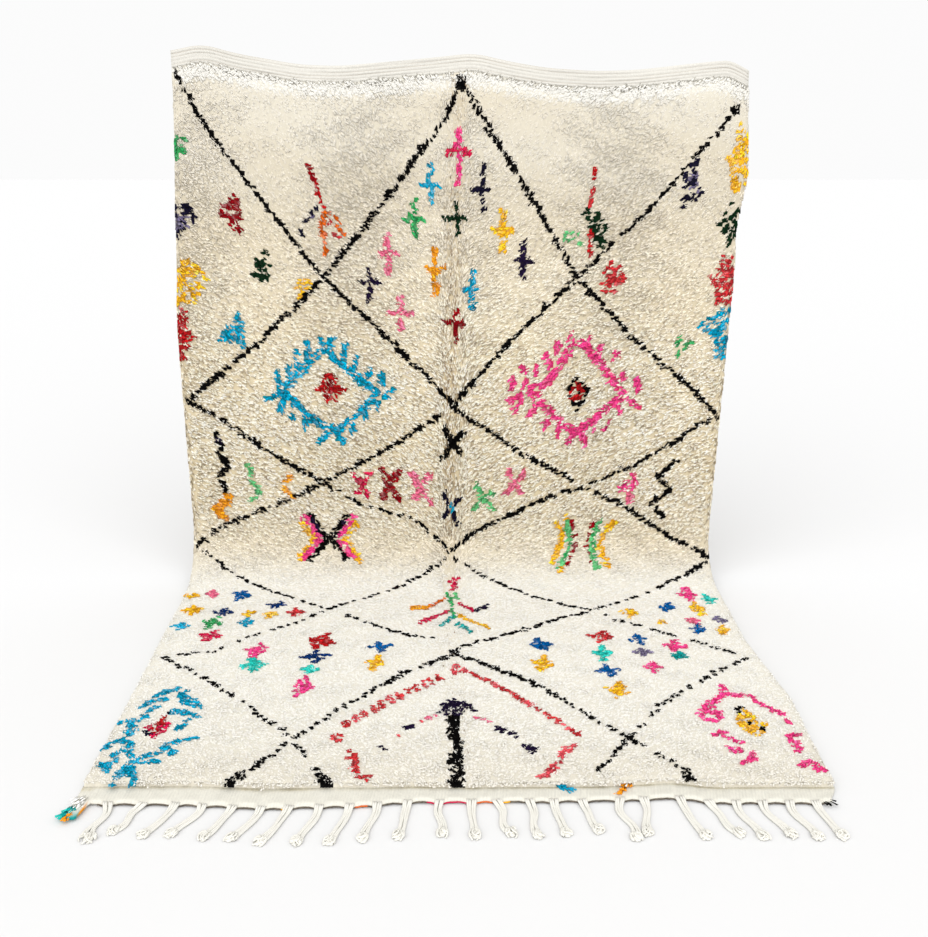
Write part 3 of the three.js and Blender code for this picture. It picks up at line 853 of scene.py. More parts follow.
def make_ground():
    rng = np.random.default_rng(7)
    along, out = ground_rows()
    across = np.linspace(-half_width, half_width, round(rug_width / knot_step) + 1)
    grid_across, grid_along = np.meshgrid(across, along)
    grid_along = drawn_in(grid_across, grid_along)
    rib = np.minimum(grid_along // rib_pitch, rib_count)
    fullness = 0.55 + 0.45 * np.sin(grid_across / 0.11 + 2.1 * rib) * np.sin(grid_across / 0.037 + rib)
    in_pile = (grid_along > pile_start) & (grid_along < pile_end)
    fold = fold_depth * fold_at(grid_across, grid_along)
    stands = np.where(in_pile, out[:, None], weave_front + (out[:, None] - weave_front) * fullness)
    front = on_cloth(grid_across, grid_along, stands + (lumps(grid_across, grid_along) - fold) * in_pile)
    back = on_cloth(grid_across, grid_along, -half_thickness + 0 * grid_across)
    front[:, :, 0] -= rim_round * np.sign(across) * (np.abs(across) > half_width - knot_step / 2)
    points, faces = closed_sheet(front, back)
    colours = ground_colours(grid_across, grid_along, rng)
    rim_colours = np.tile(weave_cream, (len(faces) - len(colours), 1))
    corner_colours = np.repeat(np.concatenate([colours, rim_colours]), 4, 0)
    return merge_mesh("ground_weave", points, [faces], corner_colours)


class Shade:
    """A value or colour in a material's tree. A sum or a product of it adds the Math node for that."""

    def __init__(self, finish, socket):
        self.finish = finish
        self.socket = socket

    def _math(self, operation, first, second):
        return self.finish.node("ShaderNodeMath", {"operation": operation}, {0: first, 1: second})

    def __add__(self, other):
        return self._math("ADD", self, other)

    def __mul__(self, other):
        return self._math("MULTIPLY", self, other)

    __radd__ = __add__
    __rmul__ = __mul__


class Finish:
    """A material and its Principled shader. Its nodes are all made by one method."""

    def __init__(self, name, **shader):
        self.material = bpy.data.materials.new(name)
        self.material.use_nodes = True
        self.tree = self.material.node_tree
        self.shader = self.tree.nodes["Principled BSDF"]
        for socket, value in shader.items():
            self.shader.inputs[self.title(socket)].default_value = value

    def title(self, socket):
        """A shader socket's own name, from base_color or specular_ior_level."""
        return socket.replace("_", " ").title().replace("Ior", "IOR")

    def node(self, kind, settings=None, inputs=None, output=0):
        made = self.tree.nodes.new(kind)
        for key, value in (settings or {}).items():
            setattr(made, key, value)
        for key, value in (inputs or {}).items():
            if isinstance(value, Shade):
                self.tree.links.new(value.socket, made.inputs[key])
            else:
                made.inputs[key].default_value = value
        return Shade(self, made.outputs[output])

    def mix(self, first, second, factor, blend="MIX"):
        """Two colours mixed. In a colour Mix node the colours are sockets 6 and 7 and its result is 2."""
        return self.node("ShaderNodeMix", {"data_type": "RGBA", "blend_type": blend},
                         {0: factor, 6: first, 7: second}, output=2)

    def noise(self, place, scale, detail=2.0, roughness=0.5):
        return self.node("ShaderNodeTexNoise", None,
                         {"Vector": place, "Scale": scale, "Detail": detail, "Roughness": roughness})

    def bump(self, height, distance, strength):
        return self.node("ShaderNodeBump", None,
                         {"Height": height, "Distance": distance, "Strength": strength})

    def feed(self, **sockets):
        for socket, value in sockets.items():
            self.tree.links.new(value.socket, self.shader.inputs[self.title(socket)])

    def dyed_yarn(self, pattern, shown, height, distance, strength):
        """The mesh's own wool colour, darkened a little by a pattern, and a bump of this height."""
        wool = self.node("ShaderNodeAttribute", {"attribute_name": "wool"})
        grey = self.node("ShaderNodeValToRGB", None, {"Fac": pattern})
        self.feed(base_color=self.mix(wool, grey, shown, "MULTIPLY"))
        self.feed(normal=self.bump(height, distance, strength))


def weave_finish():
    """Hand-spun wool, woven tight: fine cross threads, a little uneven in their spinning."""
    finish = Finish("woven wool", roughness=0.92, specular_ior_level=0.15)
    place = finish.node("ShaderNodeTexCoord", output="Object")
    stretched = finish.node("ShaderNodeMapping", None, {"Vector": place, "Scale": (1.0, 0.25, 0.25)})
    yarn = finish.noise(stretched, 420, 3.0)
    fibre = finish.noise(place, 1600, 2.0)
    finish.dyed_yarn(yarn, 0.22, yarn + 0.5 * fibre, 0.0012, 0.8)
    return finish.material


ground = make_ground()
ground.data.materials.append(weave_finish())
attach(ground, "root")
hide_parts("rug")

# The pile
# Rows of knots of thick wool yarn. Each knot's two ends stand out of the ground, are cut about 2 cm long
# and lie down over the next row, more sideways than down, parted along the fold in the rug's middle.
pile_names = ["pile_top", "pile_crosses", "pile_eyes", "pile_bend", "pile_floor", "pile_near"]
row_pitch = 0.0108
knot_pitch = 0.0122
row_start = heading_height - 0.004
row_wave = 0.003
row_jitter = np.array([0.0024, 0.0022])
thick_rows = 3
strands_in_knot = 6
strand_spread = np.array([0.0031, 0.0026])
dyed_spread = 0.54
strand_width = 0.0040
strand_length = 0.0162
strand_rise = 0.0016
strand_curl = 0.0008
top_set_back = 0.12
dyed_lift = 0.0014
dyed_swell = 0.10
root_depth = 0.0015

# How the strands differ: their lie in radians, their sizes as shares, their lift, and their ends
knot_sway = 0.14
dyed_sway = 0.34
strand_sway = 0.12
length_sway = 0.18
width_sway = 0.14
knot_lift = 0.0004
strand_lift = 0.0003
edge_inset = 0.0015
foot_clear = 0.002
foot_trim = 0.45
tip_share = 0.85
clipped_share = 0.6
clipped_length = 0.6
fluffy_swell = 0.50
pile_uneven = 0.10

# Loose brown threads along the fold
threads_at_fold = 0.48
thread_width = 0.007
thread_lift = 0.0006
thread_swell = 0.9
thread_turn = 0.35

# What brown threads, painted shade in the fold, painted shade on the down side, on a low place in the knot
# and at the hung pile's foot take from the light of a strand, and what painted light on its lit side and a
# painted highlight on its top add where the pile is deep
thread_brown_and_fold_shade_takes = [0.54, 0.62, 0.70]
shade_takes = [0.94, 1.00, 1.08]
painted_under_shade_takes = [0.94, 1.00, 1.10]
hung_foot_shade_takes = [0.00, 0.03, 0.09]
lit_side_adds = [0.04, 0.01, -0.04]
top_highlight_adds = [0.20, 0.18, 0.14]

# A strand is a wedge of four points: its root, the two sides of its blunt cut end, and the top of it.
strand_faces = np.array([[0, 3, 1], [0, 2, 3], [0, 1, 2], [1, 3, 2]])
strand_cells = np.array([
    [[0, 0], [2 / 5, 0], [1 / 5, 1]],
    [[2 / 5, 0], [3 / 5, 1], [1 / 5, 1]],
    [[2 / 5, 0], [4 / 5, 0], [3 / 5, 1]],
    [[4 / 5, 0], [1, 1], [3 / 5, 1]],
])
cell_margin = 0.12
whitest_strand = 0.93


def strands_mesh(name, roots, ends, tops, width, up, colours, tones):
    """Many strands as one mesh. Tops is how far the top of each end lies from its middle, up is the way
    out of the cloth, and tones is the painted shade and highlight of each strand at its root, its two sides
    and its top."""
    count = len(roots)
    side = np.cross(up, ends - roots)
    side *= (width / 2 / np.linalg.norm(side, axis=1))[:, None]
    sink = np.linalg.norm(tops, axis=1)[:, None] / 3 * up
    points = np.stack([roots, ends + side - sink, ends - side - sink, ends + tops], 1)
    faces = ((np.arange(count) * 4)[:, None, None] + strand_faces).reshape(-1, 3)
    side_count = math.ceil(math.sqrt(count))
    column = (np.arange(count) % side_count)[:, None, None]
    row = (np.arange(count) // side_count)[:, None, None]
    u = (column + cell_margin + (1 - 2 * cell_margin) * strand_cells[None, :, :, 0]) / side_count
    v = (row + cell_margin + (1 - 2 * cell_margin) * strand_cells[None, :, :, 1]) / side_count
    point_colours = np.clip(colours[:, None] * np.stack(tones, 1), 0, whitest_strand).reshape(-1, 3)
    cells = np.stack([u, v], -1).reshape(-1, 2)
    return merge_mesh(name, points.reshape(-1, 3), [faces], point_colours, cells)


def row_knots(rng):
    """The rows of knots, across and along the cloth. The first rows stand at the heading's edge, and
    twice as thick."""
    rows = int((pile_end - heading_height) / row_pitch)
    columns = int(rug_width / knot_pitch)
    row, column = np.meshgrid(np.arange(rows), np.arange(columns), indexing="ij")
    row, column = row.ravel(), column.ravel()
    across = -half_width + (column + 0.27 + 0.46 * (row % 2)) * rug_width / columns
    along = row_start + (row + 0.1) * (pile_end - row_start) / rows
    wave = np.sin(across / 0.037 + 1.5 * np.sin(along / 0.09))
    along = along + row_wave * smooth(along, 0.06, 0.1) * wave
    across = across + rng.normal(0, row_jitter[0], len(across))
    along = along + rng.normal(0, row_jitter[1], len(along))
    first = row < thick_rows
    across = np.concatenate([across, across[first] + knot_pitch / 2])
    along = np.concatenate([along, along[first] + row_pitch / 3])
    return across, drawn_in(across, along)


def lie_turn(x, down):
    """Which way the pile lies: 0 is straight down the cloth, and a quarter turn is to the right. It is
    parted at the fold, leans most half way down, and wanders a little."""
    side = np.sign(x - fold_x) * smooth(np.abs(x - fold_x), 0.012, 0.085)
    sideways = np.radians(44 + 22 * smooth(down, 0.15, 0.75) - 34 * smooth(down, 1.45, 1.8))
    wander = 0.11 * np.sin(x / 0.11 + 2 * np.sin(down / 0.17)) * np.sin(down / 0.075 + x / 0.3)
    return wander - side * sideways


def place_back(x, down):
    """Where on the cloth a place is that is given as place_of gives it."""
    across, along = x, down
    for _ in range(3):
        found_x, found_down = place_of(across, along)
        across, along = across + x - found_x, along + down - found_down
    return across, along


def all_knots(rng):
    """The place across and along of each knot, which way it lies, and its wool. A dyed knot leans a
    little towards the way that its line runs."""
    reach = strand_length * 0.5
    across, along = row_knots(rng)
    x, down = place_of(across, along)
    turn = lie_turn(x, down) + rng.normal(0, knot_sway, len(x))
    plain = read_chart(wool_map, x + np.sin(turn) * reach, down + np.cos(turn) * reach) == 0
    seen_x, seen_down = dyed_knots[:, 0] / 1000, dyed_knots[:, 1] / 1000
    lie = lie_turn(seen_x, seen_down)
    way = dyed_knots[:, 3]
    way = way - math.pi * np.round((way - lie) / math.pi)
    follows = 0.32 - 0.20 * smooth(seen_down, 1.4, 1.7)
    dyed_turn = lie + follows * np.where(np.isnan(way), 0, way - lie) + rng.normal(0, dyed_sway, len(lie))
    dyed_across, dyed_along = place_back(seen_x - np.sin(dyed_turn) * reach,
                                         seen_down - np.cos(dyed_turn) * reach)
    across = np.concatenate([across[plain], dyed_across])
    along = np.maximum(np.concatenate([along[plain], dyed_along]), heading_height - 0.005)
    turn = np.concatenate([turn[plain], dyed_turn])
    wool = np.concatenate([np.zeros(plain.sum(), int), dyed_knots[:, 2].astype(int)])
    order = np.argsort(along)
    return across[order], along[order], turn[order], wool[order]


def pile_finish():
    """Soft wool: no gloss, and fine fibres along the yarn."""
    finish = Finish("pile wool", roughness=0.95, specular_ior_level=0.04)
    fibre = finish.noise(finish.node("ShaderNodeTexCoord", output="Object"), 700, 3.0, 0.6)
    finish.dyed_yarn(fibre, 0.05, fibre, 0.0004, 0.5)
    return finish.material


def spread_strands(across, along, turn, dyed, rng):
    """The strands' roots, spread round their knots and kept within the rug: where each stands and which
    way it lies, how far that is from its knot, and how near it is to the pile's foot. At the foot and
    at the rug's sides the strands lie straighter down."""
    count = len(across)
    foot = pile_end - read_off(band_depths, "across", "depth", across, band_soften) + band_depth
    foot = foot + 0.0016 * np.sin(across / 0.013) * np.sin(across / 0.031)
    spread = strand_spread * np.where(dyed, dyed_spread, 1)[:, None] * rng.standard_normal((count, 2))
    across = across + spread[:, 0]
    across = across - 2 * np.sign(across) * np.maximum(np.abs(across) - half_width + edge_inset, 0)
    along = np.minimum(along + spread[:, 1], foot - foot_clear)
    turn = turn + rng.normal(0, strand_sway, count)
    turn = turn + rng.normal(0, strand_sway, count) * smooth(along, 1.5, 1.8)
    at_foot = smooth(along, foot - 0.016, foot - 0.006)
    at_side = smooth(np.abs(across), half_width - 0.014, half_width - 0.002)
    return across, along, turn * (1 - 0.6 * at_foot) * (1 - 0.9 * at_side), spread, at_foot


def fold_threads(across, along, dyed, rng):
    """Which strands are long loose threads, along the winding line of the fold."""
    winding = fold_x + 0.006 * np.sin(along / 0.07) + 0.010 * np.sign(np.sin(across * 900))
    near_fold = np.exp(-((across - winding) / thread_width) ** 2) * (1 - 0.8 * smooth(along, 1.3, 1.7))
    return ~dyed & (rng.random(len(across)) < threads_at_fold * near_fold)


def strand_lengths(x, down, turn, dyed, thread, at_foot, rng):
    """How long each strand is: the threads longer, and those that would hide a dyed knot shorter."""
    count = len(x)
    length = strand_length * np.clip(1 + length_sway * rng.standard_normal(count), 0.6, 1.5)
    length = length * (1 + thread_swell * thread) * (1 - foot_trim * at_foot * rng.random(count))
    tip_x, tip_down = x + np.sin(turn) * length * tip_share, down + np.cos(turn) * length * tip_share
    covers = ~dyed & (read_chart(tip_map, tip_x, tip_down) > 0) & (rng.random(count) < clipped_share)
    return length * np.where(covers, clipped_length, 1)


def strand_widths(along, dyed, thread, rng):
    """How wide each strand is: fluffiest just under the heading."""
    width = strand_width * np.clip(1 + width_sway * rng.standard_normal(len(along)), 0.65, 1.4)
    fluffy = 1 - smooth(along, heading_height + 0.015, heading_height + 0.060)
    return width * (1 + dyed_swell * dyed) * (1 - 0.5 * thread) * (1 + fluffy_swell * fluffy * ~dyed)


def strand_colours(colours, across, along, turn, spread, dyed, thread, rng):
    """The colour of each strand, and its painted shade and highlight at its root, its two sides and its top.
    The side that faces down gets painted shade, and so does a strand that stands low in its knot."""
    count = len(along)
    deep = relief(along)
    shade = 1 + np.where(dyed, 0.22, 0.012 + 0.12 * deep) * rng.standard_normal(count)
    # Brown threads, and painted shade on the plain strands in the fold.
    thread_brown_and_fold_shade = 0.07 * fold_at(across, along) * rng.random(count) * ~dyed + thread * rng.uniform(0.7, 1.2, count)
    colours = colours * np.clip(shade, 0.55, 1.4)[:, None]
    colours = colours * (1 - np.minimum(thread_brown_and_fold_shade, 1.3)[:, None] * thread_brown_and_fold_shade_takes)
    # Painted shade on a strand that stands low in its knot.
    lower = np.sign(turn) * (spread[:, 1] * np.sin(turn) - spread[:, 0] * np.cos(turn))
    under_shade = smooth(lower, 0.0010, 0.0034) * np.where(dyed, 0.24, 0.60 * deep)
    colours = colours * (1 - under_shade[:, None] * painted_under_shade_takes)
    plain, shag, leans_left = ~dyed[:, None], deep[:, None], turn[:, None] < 0
    # Painted shade at the foot and on the side that faces down, painted light on the lit side and a painted
    # highlight on the top.
    hung = (smooth(along, 0.09, 0.14) * (1 - smooth(along, 1.35, 1.50)))[:, None]
    foot = np.where(plain, painted_root_shade(along) * (1 - hung * hung_foot_shade_takes), 0.55)
    lit = np.where(plain, 1 + shag * lit_side_adds, 0.95)
    shaded = lit * (1 - np.where(plain, 0.52 * shag, 0.30) * shade_takes)
    top = np.where(plain, 1 + shag * top_highlight_adds, 1.25)
    return colours, [foot, np.where(leans_left, shaded, lit), np.where(leans_left, lit, shaded), top]


def make_pile():
    rng = np.random.default_rng(11)
    across, along, turn, chosen = all_knots(rng)
    x, down = place_of(across, along)
    colours = wool_light(x * 1000, along * 1000, chosen, rng, pile_uneven)
    lift = knot_lift * rng.standard_normal(len(x))
    knot = np.repeat(np.arange(len(x)), strands_in_knot)
    x, down, colours, lift = x[knot], down[knot], colours[knot], lift[knot]
    dyed = chosen[knot] > 0
    across, along, turn, spread, at_foot = spread_strands(across[knot], along[knot], turn[knot], dyed, rng)
    thread = fold_threads(across, along, dyed, rng)
    turn = np.where(thread, thread_turn * turn, turn)
    length = strand_lengths(x, down, turn, dyed, thread, at_foot, rng)
    width = strand_widths(along, dyed, thread, rng)
    lift = lift + strand_lift * rng.standard_normal(len(knot)) + thread_lift * thread
    curl = strand_curl * rng.standard_normal(len(knot))
    colours, tones = strand_colours(colours, across, along, turn, spread, dyed, thread, rng)
    downward, outward = facing(across, along)
    sideward = np.zeros_like(downward)
    sideward[:, 0] = 1
    ahead = downward * np.cos(turn)[:, None] + sideward * np.sin(turn)[:, None]
    aside = downward * -np.sin(turn)[:, None] + sideward * np.cos(turn)[:, None]
    deep = relief(along)
    stand = smooth(along, heading_height - 0.002, pile_start)
    level = bed_out + lumps(across, along) - fold_depth * fold_at(across, along)
    root = on_cloth(across, along, level * stand - 0.003 * (1 - stand))
    high = strand_rise * (0.55 + 0.75 * deep) + lift + dyed_lift * dyed + (bed_out + 0.003) * (1 - stand)
    thick = width * np.where(dyed, 0.30, 0.16 + 0.20 * deep)
    ends = root + outward * high[:, None] + ahead * length[:, None]
    tops = outward * thick[:, None] + aside * curl[:, None] - ahead * (top_set_back * length)[:, None]
    sunk = root - outward * root_depth
    pieces = []
    for name, part in zip(pile_names, np.array_split(np.arange(len(knot)), len(pile_names))):
        pieces.append(strands_mesh(name, sunk[part], ends[part], tops[part], width[part], outward[part],
                                   colours[part], [tone[part] for tone in tones]))
    return pieces


pile = make_pile()
pile_wool = pile_finish()
for piece in pile:
    piece.data.materials.append(pile_wool)
    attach(piece, "root")

# The near band
# The last 5 cm of the rug has no knots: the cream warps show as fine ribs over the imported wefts. Its edge
# is lifted a little between the tassels, which hold it to the floor where they leave it.
band_column = 0.0033
warp_rib = 0.0008
band_lift = 0.0046
band_under_pile = 0.007
corner_rounding = 0.012
strip_depth = 0.007
tail_length = 0.054
tail_inner_edge = -0.742
tail_outer_edge = -0.758

# Down the band: where its rows of points lie, as shares of its depth, and how much painted shadow of the
# pile's edge each has
band_shares = np.array([0, 0.08, 0.12, 0.16, 0.21, 0.30, 0.45, 0.6, 0.8, 1])
band_pile_shadow = np.array([0.10, 0.22, 0.30, 0.16, 0.03, 0, 0, 0, 0, 0])
pile_shadow_takes = [0, 0.25, 0.9]

tassels = [
    # Where it leaves the band, how far its tip lies to the side, its length
    (-0.691, -0.008, 0.107), (-0.626, -0.033, 0.088), (-0.559, -0.040, 0.104), (-0.503, -0.043, 0.097),
    (-0.443, -0.037, 0.097), (-0.384, -0.043, 0.102), (-0.330, -0.041, 0.114), (-0.269, -0.032, 0.113),
    (-0.209, -0.029, 0.115), (-0.154, -0.022, 0.108), (-0.094, -0.012, 0.106), (-0.030, 0.008, 0.096),
    (0.035, 0.006, 0.104), (0.088, 0.024, 0.101), (0.153, 0.011, 0.108), (0.201, 0.017, 0.102),
    (0.259, 0.022, 0.092), (0.333, 0.018, 0.122), (0.383, -0.009, 0.106), (0.456, 0.030, 0.126),
    (0.513, 0.040, 0.107), (0.565, 0.030, 0.111), (0.618, 0.032, 0.106), (0.672, 0.027, 0.110),
    (0.726, 0.020, 0.106),
]
tassel_x = np.array([tassel[0] for tassel in tassels])


def off_tassels(x):
    """How far a place along the band's edge is from the nearest tassel."""
    return np.abs(x[..., None] - tassel_x).min(-1)


def band_place(across, share):
    """Where a point of the band lies along the cloth, and how far its edge is lifted off the floor there."""
    x, _ = place_of(across, cloth_length)
    tail = tail_length * (1 - smooth(across, tail_outer_edge, tail_inner_edge))
    away = off_tassels(x)
    drawn = 0.0030 * np.exp(-(away / 0.012) ** 2) + 0.0012 * np.sin(x / 0.017) * np.sin(x / 0.041)
    depth = read_off(band_depths, "across", "depth", across, band_soften)
    start = pile_end - band_under_pile - depth + band_depth
    along = start + share * (cloth_length - 0.003 - start + tail) + drawn * smooth(share, 0.5, 1)
    return along, band_lift * (1 - np.exp(-(away / 0.016) ** 2)) * smooth(share, 0.35, 1)


def band_colours(grid_across, grid_share):
    """The band's colour at each point: cream ribs with painted shade on every other one, a painted shadow
    under the pile's edge, and a tail dipped in dye.
    """
    rng = np.random.default_rng(5)
    across = grid_across[0]
    # Every other warp column, the raised one, is darker: painted shade that shows the ribs.
    tone = 0.95 + 0.05 * rng.random(len(across)) - 0.05 * (np.arange(len(across)) % 2)
    shadow_wave = 0.5 + 0.5 * np.sin(across / 0.027 + 2 * np.sin(across / 0.061))
    # Painted shadow of the pile's edge over the band's first rows, uneven along it.
    pile_shadow = band_pile_shadow[:, None] * (0.15 + 0.55 * shadow_wave + 0.3 * rng.random(len(across)))
    colours = (tone * (1 - pile_shadow))[:, :, None] * weave_cream * (1 - pile_shadow[:, :, None] * pile_shadow_takes)
    in_tail = grid_across < tail_inner_edge - 0.004
    dip = (smooth(grid_share, 0.75, 0.95) * in_tail)[:, :, None]
    inner = (grid_across > tail_outer_edge + 0.004)[:, :, None]
    return colours * (1 - dip) + np.where(inner, wool_light_of("amber"), wool_light_of("teal")) * dip


def make_band():
    across = np.linspace(-half_width, half_width, round(rug_width / band_column))
    grid_across, grid_share = np.meshgrid(across, band_shares)
    grid_along, lifted = band_place(grid_across, grid_share)
    rib = warp_rib * (np.arange(len(across)) % 2)
    front = on_cloth(grid_across, grid_along, weave_front + rib + lifted)
    back = on_cloth(grid_across, grid_along, -half_thickness + 0.0002 + lifted)
    front[-1, :, 2] -= 0.0014
    inset = corner_rounding * smooth(grid_across, 0.735, half_width) * smooth(grid_share, 0.1, 0.9)
    for side in (front, back):
        side[:, :, 0] -= inset
    points, faces = closed_sheet(front, back)
    colours = band_colours(grid_across, grid_share).reshape(-1, 3)
    return merge_mesh("near_band", points, [faces], np.tile(colours, (2, 1)))


band = make_band()
band.data.materials.append(ground.data.materials[0])
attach(band, "root")

# The fringe
# The cotton warp ends leave the band in 25 bundles, lie flat on the floor, leaning out from the rug's
# middle, and open at their cut tips into small mops of curled plies.
yarn_radius = 0.0027
yarn_places = [-0.0059, -0.0025, 0.0025, 0.0059]
yarn_start = -0.09
yarn_end = 0.90
yarn_steps = 14
yarn_sides = 6
yarn_wave = 0.0007
tassel_sway = 0.0028
tassel_splay = 1.3
mop_curls = 15
mop_reach = 0.018
mop_half_width = 0.0105
mop_root_spread = 0.0082
curl_radius = 0.0019
curl_steps = 9
curl_sides = 5
curl_lengths = (0.022, 0.036)
curl_bends = (1.2, 4.2)
curl_levels = (0.0014, 0.0072)
mop_openings = (0.55, 1.0)
core_thickness = 0.0022
core_widths = np.array([0.55, 0.7, 0.82, 0.85, 0.82, 0.7, 0.4])
yarn_white = linear((222, 220, 212))

# The tassel at the left corner is more open than the others.
open_tassel = 0
open_splay = 1.9
open_mop = 1.5
open_roots = 1.7


def tassel_line(tassel, share):
    """The line that a tassel follows over the floor, and the way to its side."""
    x, lean, length = tassel
    reach = math.sqrt(length ** 2 - lean ** 2)
    root = on_cloth(np.array([x]), np.array([cloth_length]), 0)[0]
    start_y = root[1] - strip_depth / 2
    middle = 2 * share * (1 - share) * 0.25 + share ** 2
    centre = np.stack([x + lean * middle, start_y - reach * share, 0 * share], -1)
    ahead = np.gradient(centre, axis=0)
    ahead /= np.linalg.norm(ahead, axis=1)[:, None]
    return centre, np.stack([-ahead[:, 1], ahead[:, 0], 0 * share], -1)


def tube(path, radius, sides):
    """Points and faces of a closed tube along a path, with a radius for each of its points."""
    ahead = np.gradient(path, axis=0)
    ahead /= np.linalg.norm(ahead, axis=1)[:, None]
    side = np.cross(ahead, [0, 0, 1])
    side /= np.linalg.norm(side, axis=1)[:, None]
    rise = np.cross(side, ahead)
    turns = np.linspace(0, 2 * math.pi, sides, endpoint=False)
    ring = side[:, None] * np.cos(turns)[None, :, None] + rise[:, None] * np.sin(turns)[None, :, None]
    points = (path[:, None] + ring * radius[:, None, None]).reshape(-1, 3)
    number = np.arange(len(path) * sides).reshape(len(path), sides)
    after = np.roll(number, -1, 1)
    walls = np.stack([number[:-1], number[1:], after[1:], after[:-1]], -1).reshape(-1, 4)
    ends = np.array([number[0], number[-1][::-1]])
    return points, walls, ends


def tubes_mesh(name, parts, colours):
    """Several tubes as one mesh. Colours are a row for each point of all of them."""
    points, walls, ends, first = [], [], [], 0
    for part_points, part_walls, part_ends in parts:
        points.append(part_points)
        walls.append(part_walls + first)
        ends.append(part_ends + first)
        first += len(part_points)
    return merge_mesh(name, np.concatenate(points), [np.concatenate(walls), np.concatenate(ends)], colours)


def make_tassels():
    rng = np.random.default_rng(3)
    share = np.linspace(yarn_start, yarn_end, yarn_steps)
    yarns = []
    for index, tassel in enumerate(tassels):
        centre, side = tassel_line(tassel, share)
        leave = 1 - smooth(share, -0.06, 0.15)
        splay = open_splay if index == open_tassel else tassel_splay
        spread = 1 + 0.25 * leave + (splay - 1) * smooth(share, 0.60, yarn_end)
        spread = spread - 0.12 * smooth(share, 0.1, 0.4)
        sway = tassel_sway * rng.standard_normal() * np.sin(share * 6.5)
        for place in yarn_places:
            wander = yarn_wave * np.sin(share * rng.uniform(5, 9) + rng.uniform(0, 6))
            path = centre + side * (place * spread + wander + sway)[:, None]
            path[:, 2] = yarn_radius + 0.0003 + leave * (weave_thickness - 0.0016)
            radius = yarn_radius * (0.94 + 0.12 * rng.random(yarn_steps))
            yarns.append(tube(path, radius, yarn_sides))
    count = len(yarns) * yarn_steps * yarn_sides
    return tubes_mesh("tassels", yarns, np.tile(yarn_white, (count, 1)))


def mop_core(end, ahead):
    """The low flat heap of plies in the middle of a mop."""
    share = np.linspace(-0.1, 0.85, len(core_widths))[:, None]
    path = end + ahead * share * 1.55 * mop_reach
    points, walls, ends = tube(path, mop_half_width * core_widths, curl_sides)
    points[:, 2] = core_thickness * (1.05 + points[:, 2] / mop_half_width)
    return points, walls, ends


def mop_curl(end, ahead, beside, open_out, is_open, rng):
    """One curled ply, kept inside the oval of its mop."""
    place = rng.uniform(-1, 1)
    length = rng.uniform(*curl_lengths)
    bend = rng.uniform(*curl_bends) * rng.choice([-1, 1])
    fan = place * open_out + rng.normal(0, 0.2) - bend * 0.35
    angles = fan + bend * np.linspace(0, 1, curl_steps - 1)
    if is_open:
        place = place * open_roots
    ways = ahead * np.cos(angles)[:, None] + beside * np.sin(angles)[:, None]
    start = end + beside * place * mop_root_spread
    path = np.concatenate([start[None], start + np.cumsum(ways * length / (curl_steps - 1), 0)])
    heart = end + ahead * mop_reach * 0.7
    reach_beside = mop_half_width * (open_mop if is_open else 1)
    off = (path - heart) @ np.stack([ahead / mop_reach, beside / reach_beside], 1)
    path = heart + (path - heart) / np.maximum(np.linalg.norm(off, axis=1), 1)[:, None]
    level = rng.uniform(*curl_levels)
    settle = np.linspace(0, 1, curl_steps)
    path[:, 2] = level * (1 - 0.6 * settle ** 2) + 0.0016 * np.sin(settle * 3) * rng.random()
    path[:, 2] = np.maximum(path[:, 2], 1.1 * curl_radius + 0.0001)
    return tube(path, curl_radius * np.interp(settle, [0, 0.5, 0.9, 1], [1.1, 1.1, 1.0, 0.6]), curl_sides)


def make_mops():
    rng = np.random.default_rng(4)
    curls, cores = [], []
    for index, tassel in enumerate(tassels):
        centre, side = tassel_line(tassel, np.linspace(0, 1, 21))
        end, beside = centre[17], side[17]
        ahead = centre[20] - centre[18]
        ahead /= np.linalg.norm(ahead)
        open_out = rng.uniform(*mop_openings)
        cores.append(mop_core(end, ahead))
        for _ in range(mop_curls):
            curls.append(mop_curl(end, ahead, beside, open_out, index == open_tassel, rng))
    parts = curls + cores
    count = sum(len(points) for points, _, _ in parts)
    return tubes_mesh("tassel_mops", parts, np.tile(yarn_white, (count, 1)))


def yarn_finish():
    """Plain cotton yarn in loose plies: matt, with a fine slanting ply."""
    finish = Finish("warp yarn", roughness=0.88, specular_ior_level=0.2)
    place = finish.node("ShaderNodeTexCoord", output="Object")
    ply = finish.node("ShaderNodeTexWave", {"bands_direction": "DIAGONAL"},
                      {"Vector": place, "Scale": 130.0, "Distortion": 2.0, "Detail": 1.0})
    fibre = finish.noise(place, 1500, 2.0)
    finish.dyed_yarn(ply, 0.04, ply + 0.4 * fibre, 0.0006, 0.6)
    return finish.material


warp_yarn = yarn_finish()
tassel_pieces = [make_tassels(), make_mops()]
for piece in tassel_pieces:
    piece.data.materials.append(warp_yarn)
    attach(piece, "root")
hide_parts("fringe")

# The edge cord
# A thin cord of grey-brown wool that finishes the band's edge between the tassels, laid along the last
# weft; its grey-brown is also painted contact shadow along the edge. Some lengths of it are dyed.
cord_brown_and_shadow = linear((88, 80, 70))
cord_start = -0.728
cord_end = half_width - 0.026
cord_points = 420
cord_sides = 5
cord_radius = 0.0014
edge_lengths = [
    # From, to, wool
    (-0.345, -0.325, "yellow"), (-0.198, -0.172, "orange"), (-0.056, -0.032, "crimson"),
    (-0.028, 0.030, "crimson"), (0.044, 0.078, "orange"), (0.096, 0.114, "yellow"),
]


